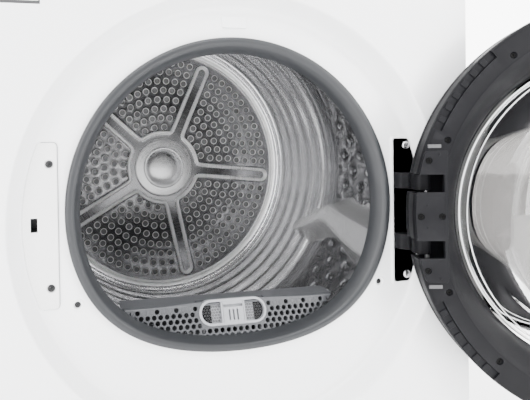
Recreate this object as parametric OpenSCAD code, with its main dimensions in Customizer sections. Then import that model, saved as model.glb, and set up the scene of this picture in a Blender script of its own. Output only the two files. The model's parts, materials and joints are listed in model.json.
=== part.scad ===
// Front-loading tumble dryer with a round door, heat-pump base and belt-driven drum.
// Frame: +Z up, +X to the right seen from the front, the front faces -Y.
// Origin: centre of the cabinet's footprint on the floor. The door is drawn wide open.

/* [Cabinet] */
// Width over the side panels
cabinet_w = 596; // [590:1:600]
// Height from the floor to the top of the lid
cabinet_h = 845; // [843:1:850]
// Depth from the front face to the rear panel
cabinet_d = 585; // [583:1:590]
// Sheet thickness of the panels
sheet_t = 1.5; // [1.2:0.1:1.5]
// Height of the joint between the front panel and the fascia
fascia_z = 722; // [718:1:724]
// Height of the top edge of the kick plate
kick_z = 172; // [165:1:175]

/* [Front opening] */
// Height of the centre of the door and its recess
door_z = 448; // [446:1:450]
// Radius of the door recess at the front face
recess_r = 262.5; // [262:0.5:264]
// Depth of the door recess
recess_d = 24; // [23:0.5:25]
// Height of the centre of the loading opening
mouth_z = 460; // [459:1:461]
// Outer radius of the collar round the opening
collar_r = 203; // [202:0.5:204]
// Inner radius of the collar
collar_in_r = 186; // [185:0.5:187]
// Distance from the mouth centre to the collar's flat bottom, outside
collar_flat = 169; // [168:0.5:170]

/* [Drum] */
// Height of the drum axis
drum_z = 487; // [486:1:488]
// Outer radius of the drum shell
drum_r = 283; // [282:0.5:283]
// Depth position of the perforated back wall
drum_back_y = 157; // [155:1:158]
// Depth position of the drum's front edge
drum_front_y = -246; // [-246:1:-244]
// Radius of each hole in the back wall
hole_r = 3.6; // [3:0.1:4]
// Distance between neighbouring rings of holes
hole_pitch = 20.8; // [20:0.1:22]
// Direction of the first arm of the star on the back wall
star_angle = 66.3; // [60:0.1:72]
// Direction of the first lifter
lifter_angle = -23; // [-26:1:-20]

/* [Door] */
// Outer radius of the door
door_r = 252.5; // [251:0.5:254]
// Angle by which the door stands open
door_open = 168.6; // [160:0.1:168.6]
// How far the middle of the door stands proud of the front face
door_crown = 40; // [39:0.5:41]
// Radius of the round window in the outer cover
window_r = 172; // [168:1:174]

/* [Drive] */
// Radius of the motor pulley
pulley_r = 12; // [10:0.5:14]
// Sideways place of the motor
motor_x = 195; // [190:1:200]
// Height of the motor
motor_z = 120; // [118:1:122]
// Width of the drum belt
belt_w = 12; // [8:1:14]
// Radius of the two rollers under the drum
roller_r = 16; // [14:1:18]

/* [Hidden] */
$fn = 96;

white = [0.94, 0.94, 0.95];
dark_grey = [0.25, 0.25, 0.27];
mid_grey = [0.42, 0.43, 0.45];
steel = [0.72, 0.72, 0.73];
black = [0.06, 0.06, 0.07];

front_y = -300;
rear_y = front_y + cabinet_d;
half_w = cabinet_w / 2;
floor_y = front_y + recess_d;          // the flat floor of the recess
side_inner = half_w - sheet_t;
gap = 0.3;                             // clearance between parts that move past each other
running = 0.05;                        // radial clearance of a shaft in its bore
lid_z = cabinet_h - 21;

// ---- shared shapes ----

// An outline drawn in X and Z, from y0 to y0 + len
module along_y(y0, len) {
    translate([0, y0 + len, 0]) rotate([90, 0, 0]) linear_extrude(len) children();
}
// A profile drawn as radius and Y, turned about a line along Y
module turned(x, z) {
    translate([x, 0, z]) rotate([-90, 0, 0]) rotate_extrude() children();
}
module rod_y(x, z, r, y0, len) {
    translate([x, y0, z]) rotate([-90, 0, 0]) cylinder(r = r, h = len);
}
module ring_y(x, z, r_in, r_out, y0, len) {
    difference() {
        rod_y(x, z, r_out, y0, len);
        rod_y(x, z, r_in, y0 - 1, len + 2);
    }
}
module block(x0, x1, y0, y1, z0, z1) {
    translate([x0, y0, z0]) cube([x1 - x0, y1 - y0, z1 - z0]);
}
// The mouth's outline: a circle with a flat bottom
module mouth(r, flat) {
    intersection() {
        translate([0, mouth_z]) circle(r);
        translate([-r, mouth_z - flat]) square([2 * r, r + flat]);
    }
}
// A pan-head screw along -Y, its head's underside at y
module screw_y(x, z, y, r, len) {
    rod_y(x, z, r, y - 2.2, 2.2);
    rod_y(x, z, r * 0.45, y - 0.1, len);
}
// The half plate that the latch and the hinge both have: a straight edge and a round one
plate_x = 210;
plate_r = 250.6;
plate_half_h = 93;
module half_plate() {
    intersection() {
        translate([0, door_z]) circle(plate_r);
        translate([plate_x, door_z - plate_half_h]) square([60, 2 * plate_half_h]);
    }
}

// ---- base and cabinet ----

tray_z = 18;
tray_h = 46;
foot_x = 255;
foot_y = [-258, 245];
module base_tray() {
    color(black) {
        difference() {
            block(-296, 296, -283.5, 278, tray_z, tray_z + tray_h);
            block(-292, 292, -279.5, 274, tray_z + 4, tray_z + tray_h + 1);
            for (x = [-foot_x, foot_x], y = foot_y) translate([x, y, tray_z - 1]) cylinder(r = 5.1, h = 40);
        }
        for (x = [-foot_x, foot_x], y = foot_y) difference() {
            translate([x, y, tray_z + 4]) cylinder(r = 14, h = 24);
            translate([x, y, tray_z - 1]) cylinder(r = 5.1, h = 40);
        }
        // the wall between the heat-exchanger chamber and the motor side
        block(-55, -51, -279.4, 273.9, tray_z + 3.9, 62);
        // motor cradle feet
        for (y = [-18, 72]) block(motor_x - 40, motor_x + 40, y, y + 12, tray_z + 3.9, 62);
    }
}
module levelling_feet() {
    color(black) for (x = [-foot_x, foot_x], y = foot_y) translate([x, y, 0]) {
        cylinder(r = 22, h = 8);
        translate([0, 0, 8]) cylinder(r1 = 22, r2 = 12, h = 5, $fn = 48);
        translate([0, 0, 12.9]) cylinder(r = 5, h = 28);
    }
}
module side_panel() {
    block(half_w - sheet_t, half_w, front_y + 14.5, rear_y - 2, tray_z + 4, lid_z - 0.5);
    block(half_w - 14, half_w - sheet_t + 0.1, rear_y - 2 - sheet_t, rear_y - 2, tray_z + 4, lid_z - 0.5);
    block(half_w - 10, half_w - sheet_t + 0.1, front_y + 14.5, front_y + 14.5 + sheet_t, tray_z + 4, lid_z - 0.5);
    // the pressed stiffening swage
    for (z = [260, 560]) block(half_w - sheet_t - 2.5, half_w - sheet_t + 0.1, -180, 180, z, z + 40);
}
module left_side_panel() { color(white) mirror([1, 0, 0]) side_panel(); }
module right_side_panel() { color(white) side_panel(); }
module top_panel() {
    color(white) {
        difference() {
            union() {
                block(-half_w, half_w, front_y + 8, rear_y, lid_z, cabinet_h);
                block(-half_w, half_w, front_y - 2, front_y + 9, lid_z, cabinet_h - 8);
                // the rounded front edge
                translate([-half_w, front_y + 6, cabinet_h - 8]) rotate([0, 90, 0]) cylinder(r = 8, h = cabinet_w);
            }
            block(-half_w + 3, half_w - 3, front_y + 12, rear_y - 3, lid_z - 1, cabinet_h - 12);
        }
    }
}
vent_count = 9;
module rear_panel() {
    color(steel) difference() {
        block(-side_inner + 0.3, side_inner - 0.3, rear_y - sheet_t, rear_y, tray_z + 6, lid_z - 1);
        for (i = [0 : vent_count - 1]) block(60, 250, rear_y - 5, rear_y + 5, 80 + i * 14, 86 + i * 14);
        for (i = [0 : vent_count - 1]) block(-180, 180, rear_y - 5, rear_y + 5, 420 + i * 14, 425 + i * 14);
        for (x = [-285, 285], z = [60, 300, 560, 800]) rod_y(x, z, 2.2, rear_y - 5, 10);
        rod_y(inlet_x, inlet_z, 9.5, rear_y - 5, 10);
        rod_y(drain_x, drain_z, 14, rear_y - 5, 10);
    }
}
module rear_screws() {
    color(steel) for (x = [-285, 285], z = [60, 300, 560, 800]) {
        rod_y(x, z, 4.5, rear_y, 2.2);
        rod_y(x, z, 2, rear_y - 1.9, 2);
    }
}

// ---- front ----

boss_x = 190.5;
boss_z = door_z - 91;
module front_panel() {
    back = floor_y + sheet_t;
    color(white) difference() {
        union() {
            difference() {
                block(-half_w, half_w, front_y, front_y + sheet_t, kick_z, fascia_z - 0.5);
                rod_y(0, door_z, recess_r + 1, front_y - 1, 5);
            }
            for (s = [-1, 1]) scale([s, 1, 1])
                block(half_w - sheet_t, half_w, front_y + sheet_t - 0.1, front_y + 14, kick_z, fascia_z - 0.5);
            turned(0, door_z) polygon([[recess_r, front_y], [254, floor_y - 3], [251, floor_y], [0, floor_y],
                [0, back], [252, back], [255.6, back - 3], [recess_r + 1.6, front_y + sheet_t],
                [recess_r + 1.6, front_y]]);
            for (s = [-1, 1]) rod_y(s * boss_x, boss_z, 6, floor_y - 0.8, 8);
            // soft buffer tab at the top of the recess
            block(-16, 16, floor_y - 3, floor_y + 0.5, mouth_z + 214, mouth_z + 229);
        }
        along_y(floor_y - 20, 40) mouth(collar_in_r + 6.5, collar_flat - 7);
        for (s = [-1, 1]) rod_y(s * boss_x, boss_z, 2, floor_y - 10, 20);
        block(-244, -229, floor_y - 5, floor_y + 5, door_z - 10, door_z + 13);
    }
}
tank_x = [-290, -92];
tank_z = [730, 818];
knob_x = 10;
knob_z = 776;
display_x = [92, 222];
display_z = [752, 800];
key_x = [124, 190];
power_x = 268;
module control_fascia() {
    y0 = front_y - 2;
    color(white) difference() {
        union() {
            block(-half_w, half_w, y0, y0 + 2.5, fascia_z, lid_z - 0.3);
            block(-half_w, half_w, y0 + 2.4, front_y + 14, fascia_z, fascia_z + 2);
            for (s = [-1, 1]) scale([s, 1, 1])
                block(half_w - 2, half_w, y0 + 2.4, front_y + 14, fascia_z, lid_z - 0.3);
        }
        block(tank_x[0], tank_x[1], y0 - 5, y0 + 60, tank_z[0], tank_z[1]);
        rod_y(knob_x, knob_z, 9, y0 - 5, 20);
        rod_y(power_x, knob_z, 11.5, y0 - 5, 20);
        rod_y(power_x - 24, knob_z, 7.5, y0 - 5, 20);
        block(display_x[0], display_x[1], y0 - 5, y0 + 1.6, display_z[0], display_z[1]);
        for (x = key_x) block(x - 21, x + 21, y0 - 5, y0 + 20, 733, 743);
    }
}
module display_window() {
    color(black) block(display_x[0] + 0.2, display_x[1] - 0.2, front_y - 2.6, front_y - 0.4,
        display_z[0] + 0.2, display_z[1] - 0.2);
}
module programme_knob() {
    color(steel) difference() {
        union() {
            turned(knob_x, knob_z) polygon([[0, -325], [22, -325], [24, -322], [25, -304], [27, -302.4],
                [0, -302.4]]);
            rod_y(knob_x, knob_z, 6, -303, 16);
        }
        // the pointer groove
        block(knob_x - 1.2, knob_x + 1.2, -326, -322.5, knob_z + 4, knob_z + 21);
    }
}
module power_button() {
    color(steel) {
        rod_y(power_x, knob_z, 11, front_y - 6, 10);
        rod_y(power_x, knob_z, 14, front_y + 3.9, 2);
    }
}
module start_button() {
    color(white) {
        rod_y(power_x - 24, knob_z, 7, front_y - 5, 9);
        rod_y(power_x - 24, knob_z, 9, front_y + 3.9, 2);
    }
}
module option_key(x) {
    color(mid_grey) {
        block(x - 20.6, x + 20.6, front_y - 4, front_y + 3.2, 733.4, 742.6);
        block(x - 24, x + 24, front_y + 3.1, front_y + 5, 730, 746);
    }
}
module option_key_left() { option_key(key_x[0]); }
module option_key_right() { option_key(key_x[1]); }
module water_tank() {
    color(white) {
        difference() {
            block(tank_x[0] + 0.6, tank_x[1] - 0.6, front_y - 5, front_y + 1, tank_z[0] + 0.6, tank_z[1] - 0.6);
            // finger pocket along the lower edge
            block(-245, -137, front_y - 6, front_y - 2, tank_z[0] + 6, tank_z[0] + 26);
        }
        difference() {
            block(-286, -96, front_y + 0.9, 168, 777.3, 815);
            block(-283, -99, front_y + 4, 165, 780, 812);
            translate([-190, 120, 800]) cylinder(r = 12, h = 30);
        }
    }
}
module water_tank_tray() {
    color(mid_grey) difference() {
        block(-291, -89, -284, 174, 774.5, 821);
        block(-289, -91, -285, 170, 777, 822);
    }
}
flap_x = [-285, -95];
flap_z = [55, 151];
flap_axis_y = -293;
flap_axis_z = 58;
module kick_plate() {
    y0 = front_y;
    color(white) {
        difference() {
            union() {
                block(-half_w, half_w, y0, y0 + 2, 22, kick_z - 0.5);
                for (s = [-1, 1]) scale([s, 1, 1])
                    block(half_w - 2, half_w, y0 + 1.9, y0 + 14, 22, kick_z - 0.5);
            }
            block(flap_x[0] - 1.5, flap_x[1] + 1.5, y0 - 5, y0 + 5, flap_z[0] - 4, flap_z[1] + 1.5);
        }
        // the flap's hinge ears
        for (x = [flap_x[0] - 6, flap_x[1] + 3]) difference() {
            block(x, x + 3, y0 + 1.9, flap_axis_y + 5, flap_axis_z - 5, flap_axis_z + 5);
            translate([x - 1, flap_axis_y, flap_axis_z]) rotate([0, 90, 0]) cylinder(r = 2.5 + running, h = 8);
        }
    }
}
module service_flap() {
    color(white) {
        block(flap_x[0], flap_x[1], front_y + 0.5, front_y + 3, flap_z[0], flap_z[1]);
        for (x = [flap_x[0], flap_x[1] - 4]) block(x, x + 4, front_y + 2.9, flap_axis_y + 4, 55, 62);
        for (x = [flap_x[0] - 6, flap_x[1] - 1]) translate([x, flap_axis_y, flap_axis_z]) rotate([0, 90, 0])
            cylinder(r = 2.5, h = 7);
        // the catch at the top edge
        block(-200, -180, front_y + 2.9, front_y + 14, 140, 145);
    }
}
module mouth_collar() {
    color(mid_grey) {
        for (step = [[0, 3, 0, 0], [3, 3, 2.6, 2.6], [6, 2, 5.2, 5.2]])
            along_y(floor_y - step[0] - step[1], step[1]) difference() {
                mouth(collar_r - step[2], collar_flat - step[2]);
                mouth(collar_in_r + step[3], collar_flat - 12 + step[3]);
            }
        along_y(floor_y - 0.1, 8) difference() {
            mouth(collar_in_r + 5.5, collar_flat - 8);
            mouth(collar_in_r, collar_flat - 12);
        }
    }
}

// ---- bulkheads, filter and seals ----

bulk_y = -267.5;
seal_r = drum_r - 17;
module front_bulkhead() {
    color(mid_grey) {
        along_y(bulk_y, 2) difference() {
            translate([-288, 195]) square([576, 577]);
            mouth(collar_in_r + 1, collar_flat - 11);
            // room for the latch behind the panel
            translate([-246, door_z - 12]) square([19, 27]);
        }
        for (s = [-1, 1]) translate([s * roller_x, 0, roller_z]) roller_axle();
        ring_y(0, drum_z, seal_r - 11, seal_r - 8, bulk_y + 1.9, 26);
        // frame that ties the bulkhead to the sides and to the lid
        for (s = [-1, 1]) scale([s, 1, 1]) block(286, 288, bulk_y + 1.9, bulk_y + 22, 195, 772);
    }
}
module drum_front_seal() {
    color([0.75, 0.73, 0.7]) ring_y(0, drum_z, seal_r - 8, seal_r - gap, bulk_y + 6, 20);
}
shelf_z = mouth_z - 121.5;              // top edge of the filter housing
shelf_w = 145;
grille_lean = 18;                       // how far the grille leans back from upright, in degrees
grille_low_y = bulk_y + 0.5;
grille_low_z = mouth_z - collar_flat + 13;
grille_h = (shelf_z - grille_low_z) / cos(grille_lean);
module shelf_outline(r, top) {
    intersection() {
        mouth(r, collar_flat - 12.5);
        translate([-r, 0]) square([2 * r, top]);
    }
}
module filter_housing() {
    color(mid_grey) difference() {
        union() {
            along_y(-251, 25) shelf_outline(collar_in_r - 1, shelf_z);
            block(-48, 48, -265, -241, 240, grille_low_z);
            block(-48, 48, -251.1, -241, 240, shelf_z);
        }
        along_y(-260, 31) intersection() {
            shelf_outline(collar_in_r - 4, shelf_z - 3);
            translate([-190, grille_low_z + 3]) square([380, 60]);
        }
        // the well for the filter cassette, open at the top and at the bottom
        block(-43, 43, -262.5, -243.5, 235, shelf_z + 2);
        block(-46, 46, -270, -243.5, grille_low_z + 2, shelf_z + 2);
    }
}
capsule_w = 88;
capsule_h = 31;
grille_pitch = 7.6;
// Shapes drawn in the plane of the leaning grille, with its lower edge at 0
module in_grille_plane(t0, t) {
    translate([0, grille_low_y, grille_low_z]) rotate([-grille_lean, 0, 0])
        translate([0, t0 + t, 0]) rotate([90, 0, 0]) linear_extrude(t) children();
}
module lint_grille() {
    edge_w = sqrt(pow(collar_in_r - 1.5, 2) - pow(collar_flat - 14, 2));
    color(mid_grey) in_grille_plane(0, 2) difference() {
        polygon([[-edge_w, 0], [edge_w, 0], [shelf_w, grille_h], [-shelf_w, grille_h]]);
        translate([-capsule_w / 2 - 1, 6]) square([capsule_w + 2, grille_h]);
        for (row = [0 : 4], col = [-18 : 18]) {
            x = (col + (row % 2) / 2) * grille_pitch;
            z = 5.5 + row * grille_pitch * 0.95;
            if (abs(x) < 96 + row * 9.5 && abs(x) > capsule_w / 2 + 5)
                translate([x, z]) circle(2.2, $fn = 16);
        }
    }
}
module stadium(w, h) {
    square([w - h, h], center = true);
    for (s = [-1, 1]) translate([s * (w - h) / 2, 0]) circle(h / 2);
}
capsule_v = 25;                         // centre of the handle plate, up the leaning grille
module lint_filter() {
    color([0.5, 0.51, 0.53]) {
        difference() {
            in_grille_plane(-1.5, 10) translate([0, capsule_v]) stadium(capsule_w, capsule_h);
            in_grille_plane(-2, 6) for (s = [-1, 1]) intersection() {
                translate([0, capsule_v]) stadium(capsule_w - 6, capsule_h - 6);
                translate([s * 27 - 14, capsule_v - 20]) square([28, 40]);
            }
            in_grille_plane(-2, 4) for (x = [-5, 0, 5]) translate([x - 1, capsule_v - 9]) square([2, 12]);
        }
        // the cassette frame below, with its open middle
        difference() {
            block(-41, 41, -259, -246, 244, grille_low_z + 10);
            block(-37, 37, -260, -245, 248, grille_low_z + 4);
        }
    }
}
module filter_mesh() {
    color(steel) {
        block(-36.9, 36.9, -253.5, -251.5, 248.1, grille_low_z + 3.9);
        in_grille_plane(3, 0.9) for (s = [-1, 1]) intersection() {
            translate([0, capsule_v]) stadium(capsule_w - 6.4, capsule_h - 6.4);
            translate([s * 27 - 13.8, capsule_v - 20]) square([27.6, 40]);
        }
    }
}
module moisture_sensor() {
    // two steel strips on the back of the filter shelf, facing the laundry
    color(steel) for (z = [318, 330]) block(-60, 60, -226, -224, z, z + 5);
}

// ---- latch and hinge ----

module latch_plate() {
    color(white) difference() {
        mirror([1, 0, 0]) along_y(floor_y - 3, 3) half_plate();
        // bevelled frame of the latch hole
        translate([-236.5, floor_y - 3.1, door_z + 1.5]) {
            block(-8.5, 8.5, -1, 1.1, -13, 13);
            block(-5, 5, -1, 10, -8, 8);
        }
        for (s = [-1, 1]) rod_y(-219, door_z + s * 69, 2.2, floor_y - 5, 10);
    }
}
module latch_catch() {
    color(black) difference() {
        block(-243.5, -229.5, floor_y, floor_y + 20, door_z - 9.5, door_z + 12.5);
        block(-241.5, -231.5, floor_y - 1, floor_y + 17, door_z - 6.5, door_z + 9.5);
    }
}
module front_screws() {
    color(steel) for (s = [-1, 1]) {
        screw_y(-219, door_z + s * 69, floor_y - 3, 4.2, 3);
        screw_y(228, door_z + s * 83, floor_y - 2, 4.5, 2);
    }
}
hinge_x = 226.5;
hinge_y = front_y - 11.3;
pin_r = 2.5;
knuckle_r = 4.3;
arm_dz = 38.5;
arm_h = 20;
// The gooseneck, drawn in X and Y: it runs from the bracket to the pin
module arm_outline() {
    polygon([[211, floor_y - 1.9], [211, -281], [213, -287], [219.9, -291.2], [220.1, -294.5],
        [217, -299], [214.5, -303], [213.8, -309], [216, -313.5], [hinge_x, hinge_y - knuckle_r],
        [hinge_x, hinge_y], [222.8, -309.2], [220.5, -306.5], [220.8, -302], [226.5, -294],
        [227.5, -290], [231, -284], [236, -281], [236, floor_y - 1.9]]);
    translate([hinge_x, hinge_y]) circle(knuckle_r);
}
module hinge_bracket() {
    color(black) difference() {
        union() {
            along_y(floor_y - 2, 2) half_plate();
            for (s = [-1, 1]) translate([0, 0, door_z + s * arm_dz - arm_h / 2])
                linear_extrude(arm_h) arm_outline();
        }
        for (s = [-1, 1]) {
            translate([hinge_x, hinge_y, door_z + s * arm_dz - 20]) cylinder(r = pin_r + running, h = 40);
            rod_y(228, door_z + s * 83, 2.2, floor_y - 5, 10);
        }
    }
}
module hinge_pins() {
    color(steel) for (s = [-1, 1]) translate([hinge_x, hinge_y, door_z + s * arm_dz - 18])
        cylinder(r = pin_r, h = 36);
}
// ---- door: modelled shut, then turned open about the hinge axis ----

module opened() {
    translate([hinge_x, hinge_y, 0]) rotate([0, 0, door_open]) translate([-hinge_x, -hinge_y, 0]) children();
}
ring_y0 = front_y + 8;                  // the ring's flat face, next to the recess floor when shut
function crown_y(r) = front_y - door_crown + door_crown * 0.675 * pow(r / 256, 2);
cover_t = 2;
cover_r = door_r - 4;                   // the edge tapers in towards the outer cover
slot_h = 23;
// Slots that let the two hinge arms into the door. deep is where the slot ends, towards the middle.
module arm_slots(deep, y0, y1) {
    for (s = [-1, 1]) block(deep, door_r + 10, y0, y1,
        door_z + s * arm_dz - slot_h / 2, door_z + s * arm_dz + slot_h / 2);
}
// One grip pocket in the ring's edge, between two directions
grip_angles = [[24, 49], [-49, -24]];
module grip_pocket(a0, a1) {
    translate([0, 0, door_z]) rotate([0, -a1, 0]) rotate([-90, 0, 0]) rotate([0, 0, 0])
        translate([0, 0, ring_y0 - 7]) rotate([0, 0, 0]) linear_extrude(8) difference() {
            intersection() {
                circle(door_r + 1);
                polygon([[0, 0], [400, 0], [400 * cos(a1 - a0), 400 * sin(a1 - a0)]]);
            }
            circle(door_r - 11);
        }
}
module door_ring() {
    color(dark_grey) opened() difference() {
        turned(0, door_z) polygon([[225, ring_y0], [door_r - 2.5, ring_y0], [door_r, ring_y0 - 2.5],
            [cover_r, crown_y(256) + 2.4], [cover_r - 3, crown_y(253) + 3], [door_r - 3, ring_y0 - 4.5],
            [door_r - 4.5, ring_y0 - 3], [225.5, ring_y0 - 3], [194, ring_y0 - 25],
            [190.5, ring_y0 - 25], [190.5, ring_y0 - 22], [192, ring_y0 - 22]]);
        arm_slots(214.5, -340, -280);
        // room for the leaf's lugs
        for (s = [-1, 1]) block(221, 232, -300, -290, door_z + s * arm_dz - 18.2, door_z + s * arm_dz + 18.2);
        for (a = grip_angles, s = [0, 1]) mirror([s, 0, 0]) grip_pocket(a[0], a[1]);
        for (a = ring_screw_angles) rod_y(231 * cos(a), door_z + 231 * sin(a), 3.2, ring_y0 - 2.4, 10);
        // seat of the hinge leaf
        leaf_blank(213.7, 81.8, 1.5, 1);
    }
}
ring_screw_angles = [22.5, 53, 90, 127, 157.5, 202.5, 227, 270, 313, 337.5];
module door_cover() {
    color(dark_grey) opened() difference() {
        turned(0, door_z) polygon(concat(
            [for (i = [0 : 8]) let (r = window_r + i * (cover_r - window_r) / 8) [r, crown_y(r)]],
            [[cover_r, crown_y(256) + 2], [cover_r - 4, crown_y(252) + cover_t]],
            [for (i = [7 : -1 : 0]) let (r = window_r + i * (cover_r - window_r) / 8) [r, crown_y(r) + cover_t]],
            [[window_r, crown_y(window_r) + 4.5], [window_r - 3, crown_y(window_r) + 4.5],
            [window_r - 3, crown_y(window_r) + 2.6], [window_r, crown_y(window_r) + 2.6]]));
        arm_slots(231, -340, -280);
    }
}
module door_window() {
    r = window_r - 0.3;
    color([0.12, 0.12, 0.13, 0.6]) opened() turned(0, door_z) polygon(concat(
        [for (i = [0 : 8]) [r * i / 8, crown_y(r * i / 8)]],
        [for (i = [8 : -1 : 0]) [r * i / 8, crown_y(r * i / 8) + 2.5]]));
}
// The bowl: base flange, side wall and end, with a ramp below that clears the filter shelf
bowl = [[186, -318], [184, -312], [178, -290], [171, -266], [160, -250], [143, -242.5], [0, -240]];
bowl_t = 4;
module bowl_solid(inset) {
    intersection() {
        turned(0, door_z) polygon(concat([[0, bowl[0][1] - (inset > 0 ? 1 : 0)],
            [bowl[0][0] - inset, bowl[0][1] - (inset > 0 ? 1 : 0)]],
            [for (i = [1 : 5]) [bowl[i][0] - inset, bowl[i][1] - (i > 3 ? inset : inset / 2)]],
            [[0, bowl[6][1] - inset]]));
        // everything above the ramp
        translate([0, -318, 264 + inset * 1.4]) rotate([56.9, 0, 0]) translate([-300, -100, 0]) cube([600, 500, 500]);
    }
}
module door_glass_bowl() {
    color([0.8, 0.82, 0.84, 0.4]) opened() {
        difference() {
            bowl_solid(0);
            bowl_solid(bowl_t);
        }
        ring_y(0, door_z, 182.5, 198, bowl[0][1] - 2.4, 3.2);
    }
}
// The leaf's sheet follows the ring's flat and its bevelled edge, from depth below to height above
module leaf_blank(x0, half_h, below, above) {
    intersection() {
        block(x0, 270, ring_y0 - below, ring_y0 + above, door_z - half_h, door_z + half_h);
        turned(0, door_z) translate([0, -320]) square([door_r - 3 + (above > 0.5 ? 0.3 : 0), 40]);
    }
}
module door_hinge_leaf() {
    color(dark_grey) opened() difference() {
        union() {
            leaf_blank(214, 81.5, 1.4, 0.4);
            // lugs beside each arm, bored for the pins
            for (s = [-1, 1], t = [-1, 1]) {
                z = door_z + s * arm_dz + t * 14.7;
                translate([hinge_x, hinge_y, z - 3]) cylinder(r = knuckle_r, h = 6);
                block(hinge_x - knuckle_r, hinge_x + knuckle_r, hinge_y, ring_y0 - 1, z - 3, z + 3);
            }
        }
        arm_slots(219, -340, -280);
        for (s = [-1, 1]) translate([hinge_x, hinge_y, door_z + s * arm_dz - 30])
            cylinder(r = pin_r + running, h = 60);
    }
}
module door_hook() {
    color(black) opened() {
        block(-243, -229, ring_y0, ring_y0 + 3, door_z - 14, door_z + 17);
        block(-239, -234, ring_y0 + 2.9, floor_y + 6, door_z - 4, door_z + 7);
        block(-239, -231.8, floor_y + 5.9, floor_y + 9, door_z - 4, door_z + 7);
    }
}
leaf_screws = [[236, 65], [245.5, 0], [221.5, 0], [238, -63]];
module door_screws() {
    color(black) opened() {
        for (a = ring_screw_angles) rod_y(231 * cos(a), door_z + 231 * sin(a), 3, ring_y0 - 2.3, 1.9);
        for (p = leaf_screws) rod_y(p[0], door_z + p[1], 2.8, ring_y0 + 0.4, 0.5);
    }
}

// ---- drum ----

shell_t = 1.5;
module drum_shell() {
    step_y = -52;                       // the shell steps in behind this line
    bead = 4;
    bead_count = 5;
    bead_pitch = 34;
    first_bead = -12;
    outer = concat([[seal_r + shell_t, drum_front_y], [drum_r - 3, drum_front_y + 3], [drum_r, drum_front_y + 8],
        [drum_r, step_y], [drum_r - 3, step_y + 5]],
        [for (i = [0 : bead_count - 1], p = [[-9, 3], [-3, 3 + bead], [3, 3 + bead], [9, 3]])
            [drum_r - p[1], first_bead + i * bead_pitch + p[0]]],
        [[drum_r - 3, drum_back_y - 12], [drum_r - 14, drum_back_y + 1.5]]);
    inner = [for (i = [len(outer) - 1 : -1 : 0]) outer[i] + [-shell_t, i < 3 ? shell_t : (i > 24 ? -1 : 0)]];
    color(steel) turned(0, drum_z) polygon(concat(outer, inner));
}
hub_r = 64;
hole_rings = 9;
first_ring_r = 81;
arm_half_w = 16;
module star(grow) {
    circle(hub_r + 8 + grow);
    for (i = [0 : 4]) rotate(star_angle + 72 * i) {
        translate([0, -arm_half_w - grow]) square([234, 2 * (arm_half_w + grow)]);
        translate([234, 0]) circle(arm_half_w + grow);
    }
}
module drum_back() {
    back_r = drum_r - 15.6;
    color(steel) difference() {
        union() {
            along_y(drum_back_y, shell_t) translate([0, drum_z]) circle(back_r);
            along_y(drum_back_y - 5, 5.1) translate([0, drum_z]) difference() {
                star(0);
                // the groove along each arm
                for (i = [0 : 4]) rotate(star_angle + 72 * i) translate([92, -4.5]) square([138, 9]);
            }
            turned(0, drum_z) polygon([[0, drum_back_y - 11], [40, drum_back_y - 9], [44, drum_back_y - 5],
                [44, drum_back_y + 0.1], [0, drum_back_y + 0.1]]);
        }
        for (k = [0 : hole_rings - 1]) {
            r = first_ring_r + k * hole_pitch;
            count = 5 * round(2 * PI * r / hole_pitch / 5);
            clear = asin((arm_half_w + 7) / r);
            for (i = [0 : count - 1]) {
                a = 360 * (i + 0.5) / count;
                off = abs(((a + 36) % 72) - 36);
                if (off > clear) rotate_hole(r, a + star_angle);
            }
        }
    }
}
module rotate_hole(r, a) {
    rod_y(r * cos(a), drum_z + r * sin(a), hole_r, drum_back_y - 2, 6);
}
module lifter() {
    base = drum_r - shell_t - 1;
    difference() {
        along_y(-238, 215) intersection() {
            polygon([[base - 3, -34], [base - 3, 34], [base - 22, 24], [228, 11], [228, -11], [base - 22, -24]]);
            circle(base - 2.1);
        }
        // both ends slope down to the shell
        translate([228, -23, 0]) rotate([0, 0, -36]) translate([-90, 0, -60]) cube([90, 90, 120]);
        translate([228, -238, 0]) rotate([0, 0, 25]) translate([-90, -90, -60]) cube([90, 90, 120]);
    }
}
module drum_lifters() {
    color(mid_grey) for (i = [0 : 2]) translate([0, 0, drum_z]) rotate([0, -lifter_angle - 120 * i, 0]) lifter();
}
shaft_r = 11;
module drum_shaft() {
    color(steel) {
        rod_y(0, drum_z, hub_r - 13, drum_back_y + shell_t, 4);
        rod_y(0, drum_z, shaft_r, drum_back_y + shell_t + 3.9, 62);
    }
}
rear_bulk_y = 176;
module rear_bulkhead() {
    color(steel) difference() {
        union() {
            block(-288, 288, rear_bulk_y, rear_bulk_y + 2, 195, 770);
            // the warm-air channel behind the drum, closed by a ring next to the back wall
            ring_y(0, drum_z, 262, 264, rear_bulk_y - 14, 14.1);
            rod_y(0, drum_z, 40, rear_bulk_y - 8, 8.1);
        }
        rod_y(0, drum_z, 17, rear_bulk_y - 20, 40);
        // warm air comes up behind this wall and goes through to the back of the drum
        for (i = [0 : 7]) rod_y(160 * cos(45 * i), drum_z + 160 * sin(45 * i), 34, rear_bulk_y - 5, 10);
        block(motor_x + 8, motor_x + 72, rear_bulk_y - 5, rear_bulk_y + 5, 208, 262);
    }
}
module drum_bearing() {
    color(black) ring_y(0, drum_z, shaft_r + running, 16.9, rear_bulk_y - 6, 26);
}

// ---- drive ----

belt_y = -60;
belt_in = drum_r + 0.35;
belt_t = 2.5;
drive_d = sqrt(pow(motor_x, 2) + pow(drum_z - motor_z, 2));
drive_a = atan2(motor_z - drum_z, motor_x);
wrap_a = acos((belt_in - pulley_r - 0.35) / drive_d);
function on_drum(a, r) = [r * cos(a), drum_z + r * sin(a)];
function on_pulley(a, r) = [motor_x + r * cos(a), motor_z + r * sin(a)];
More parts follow.
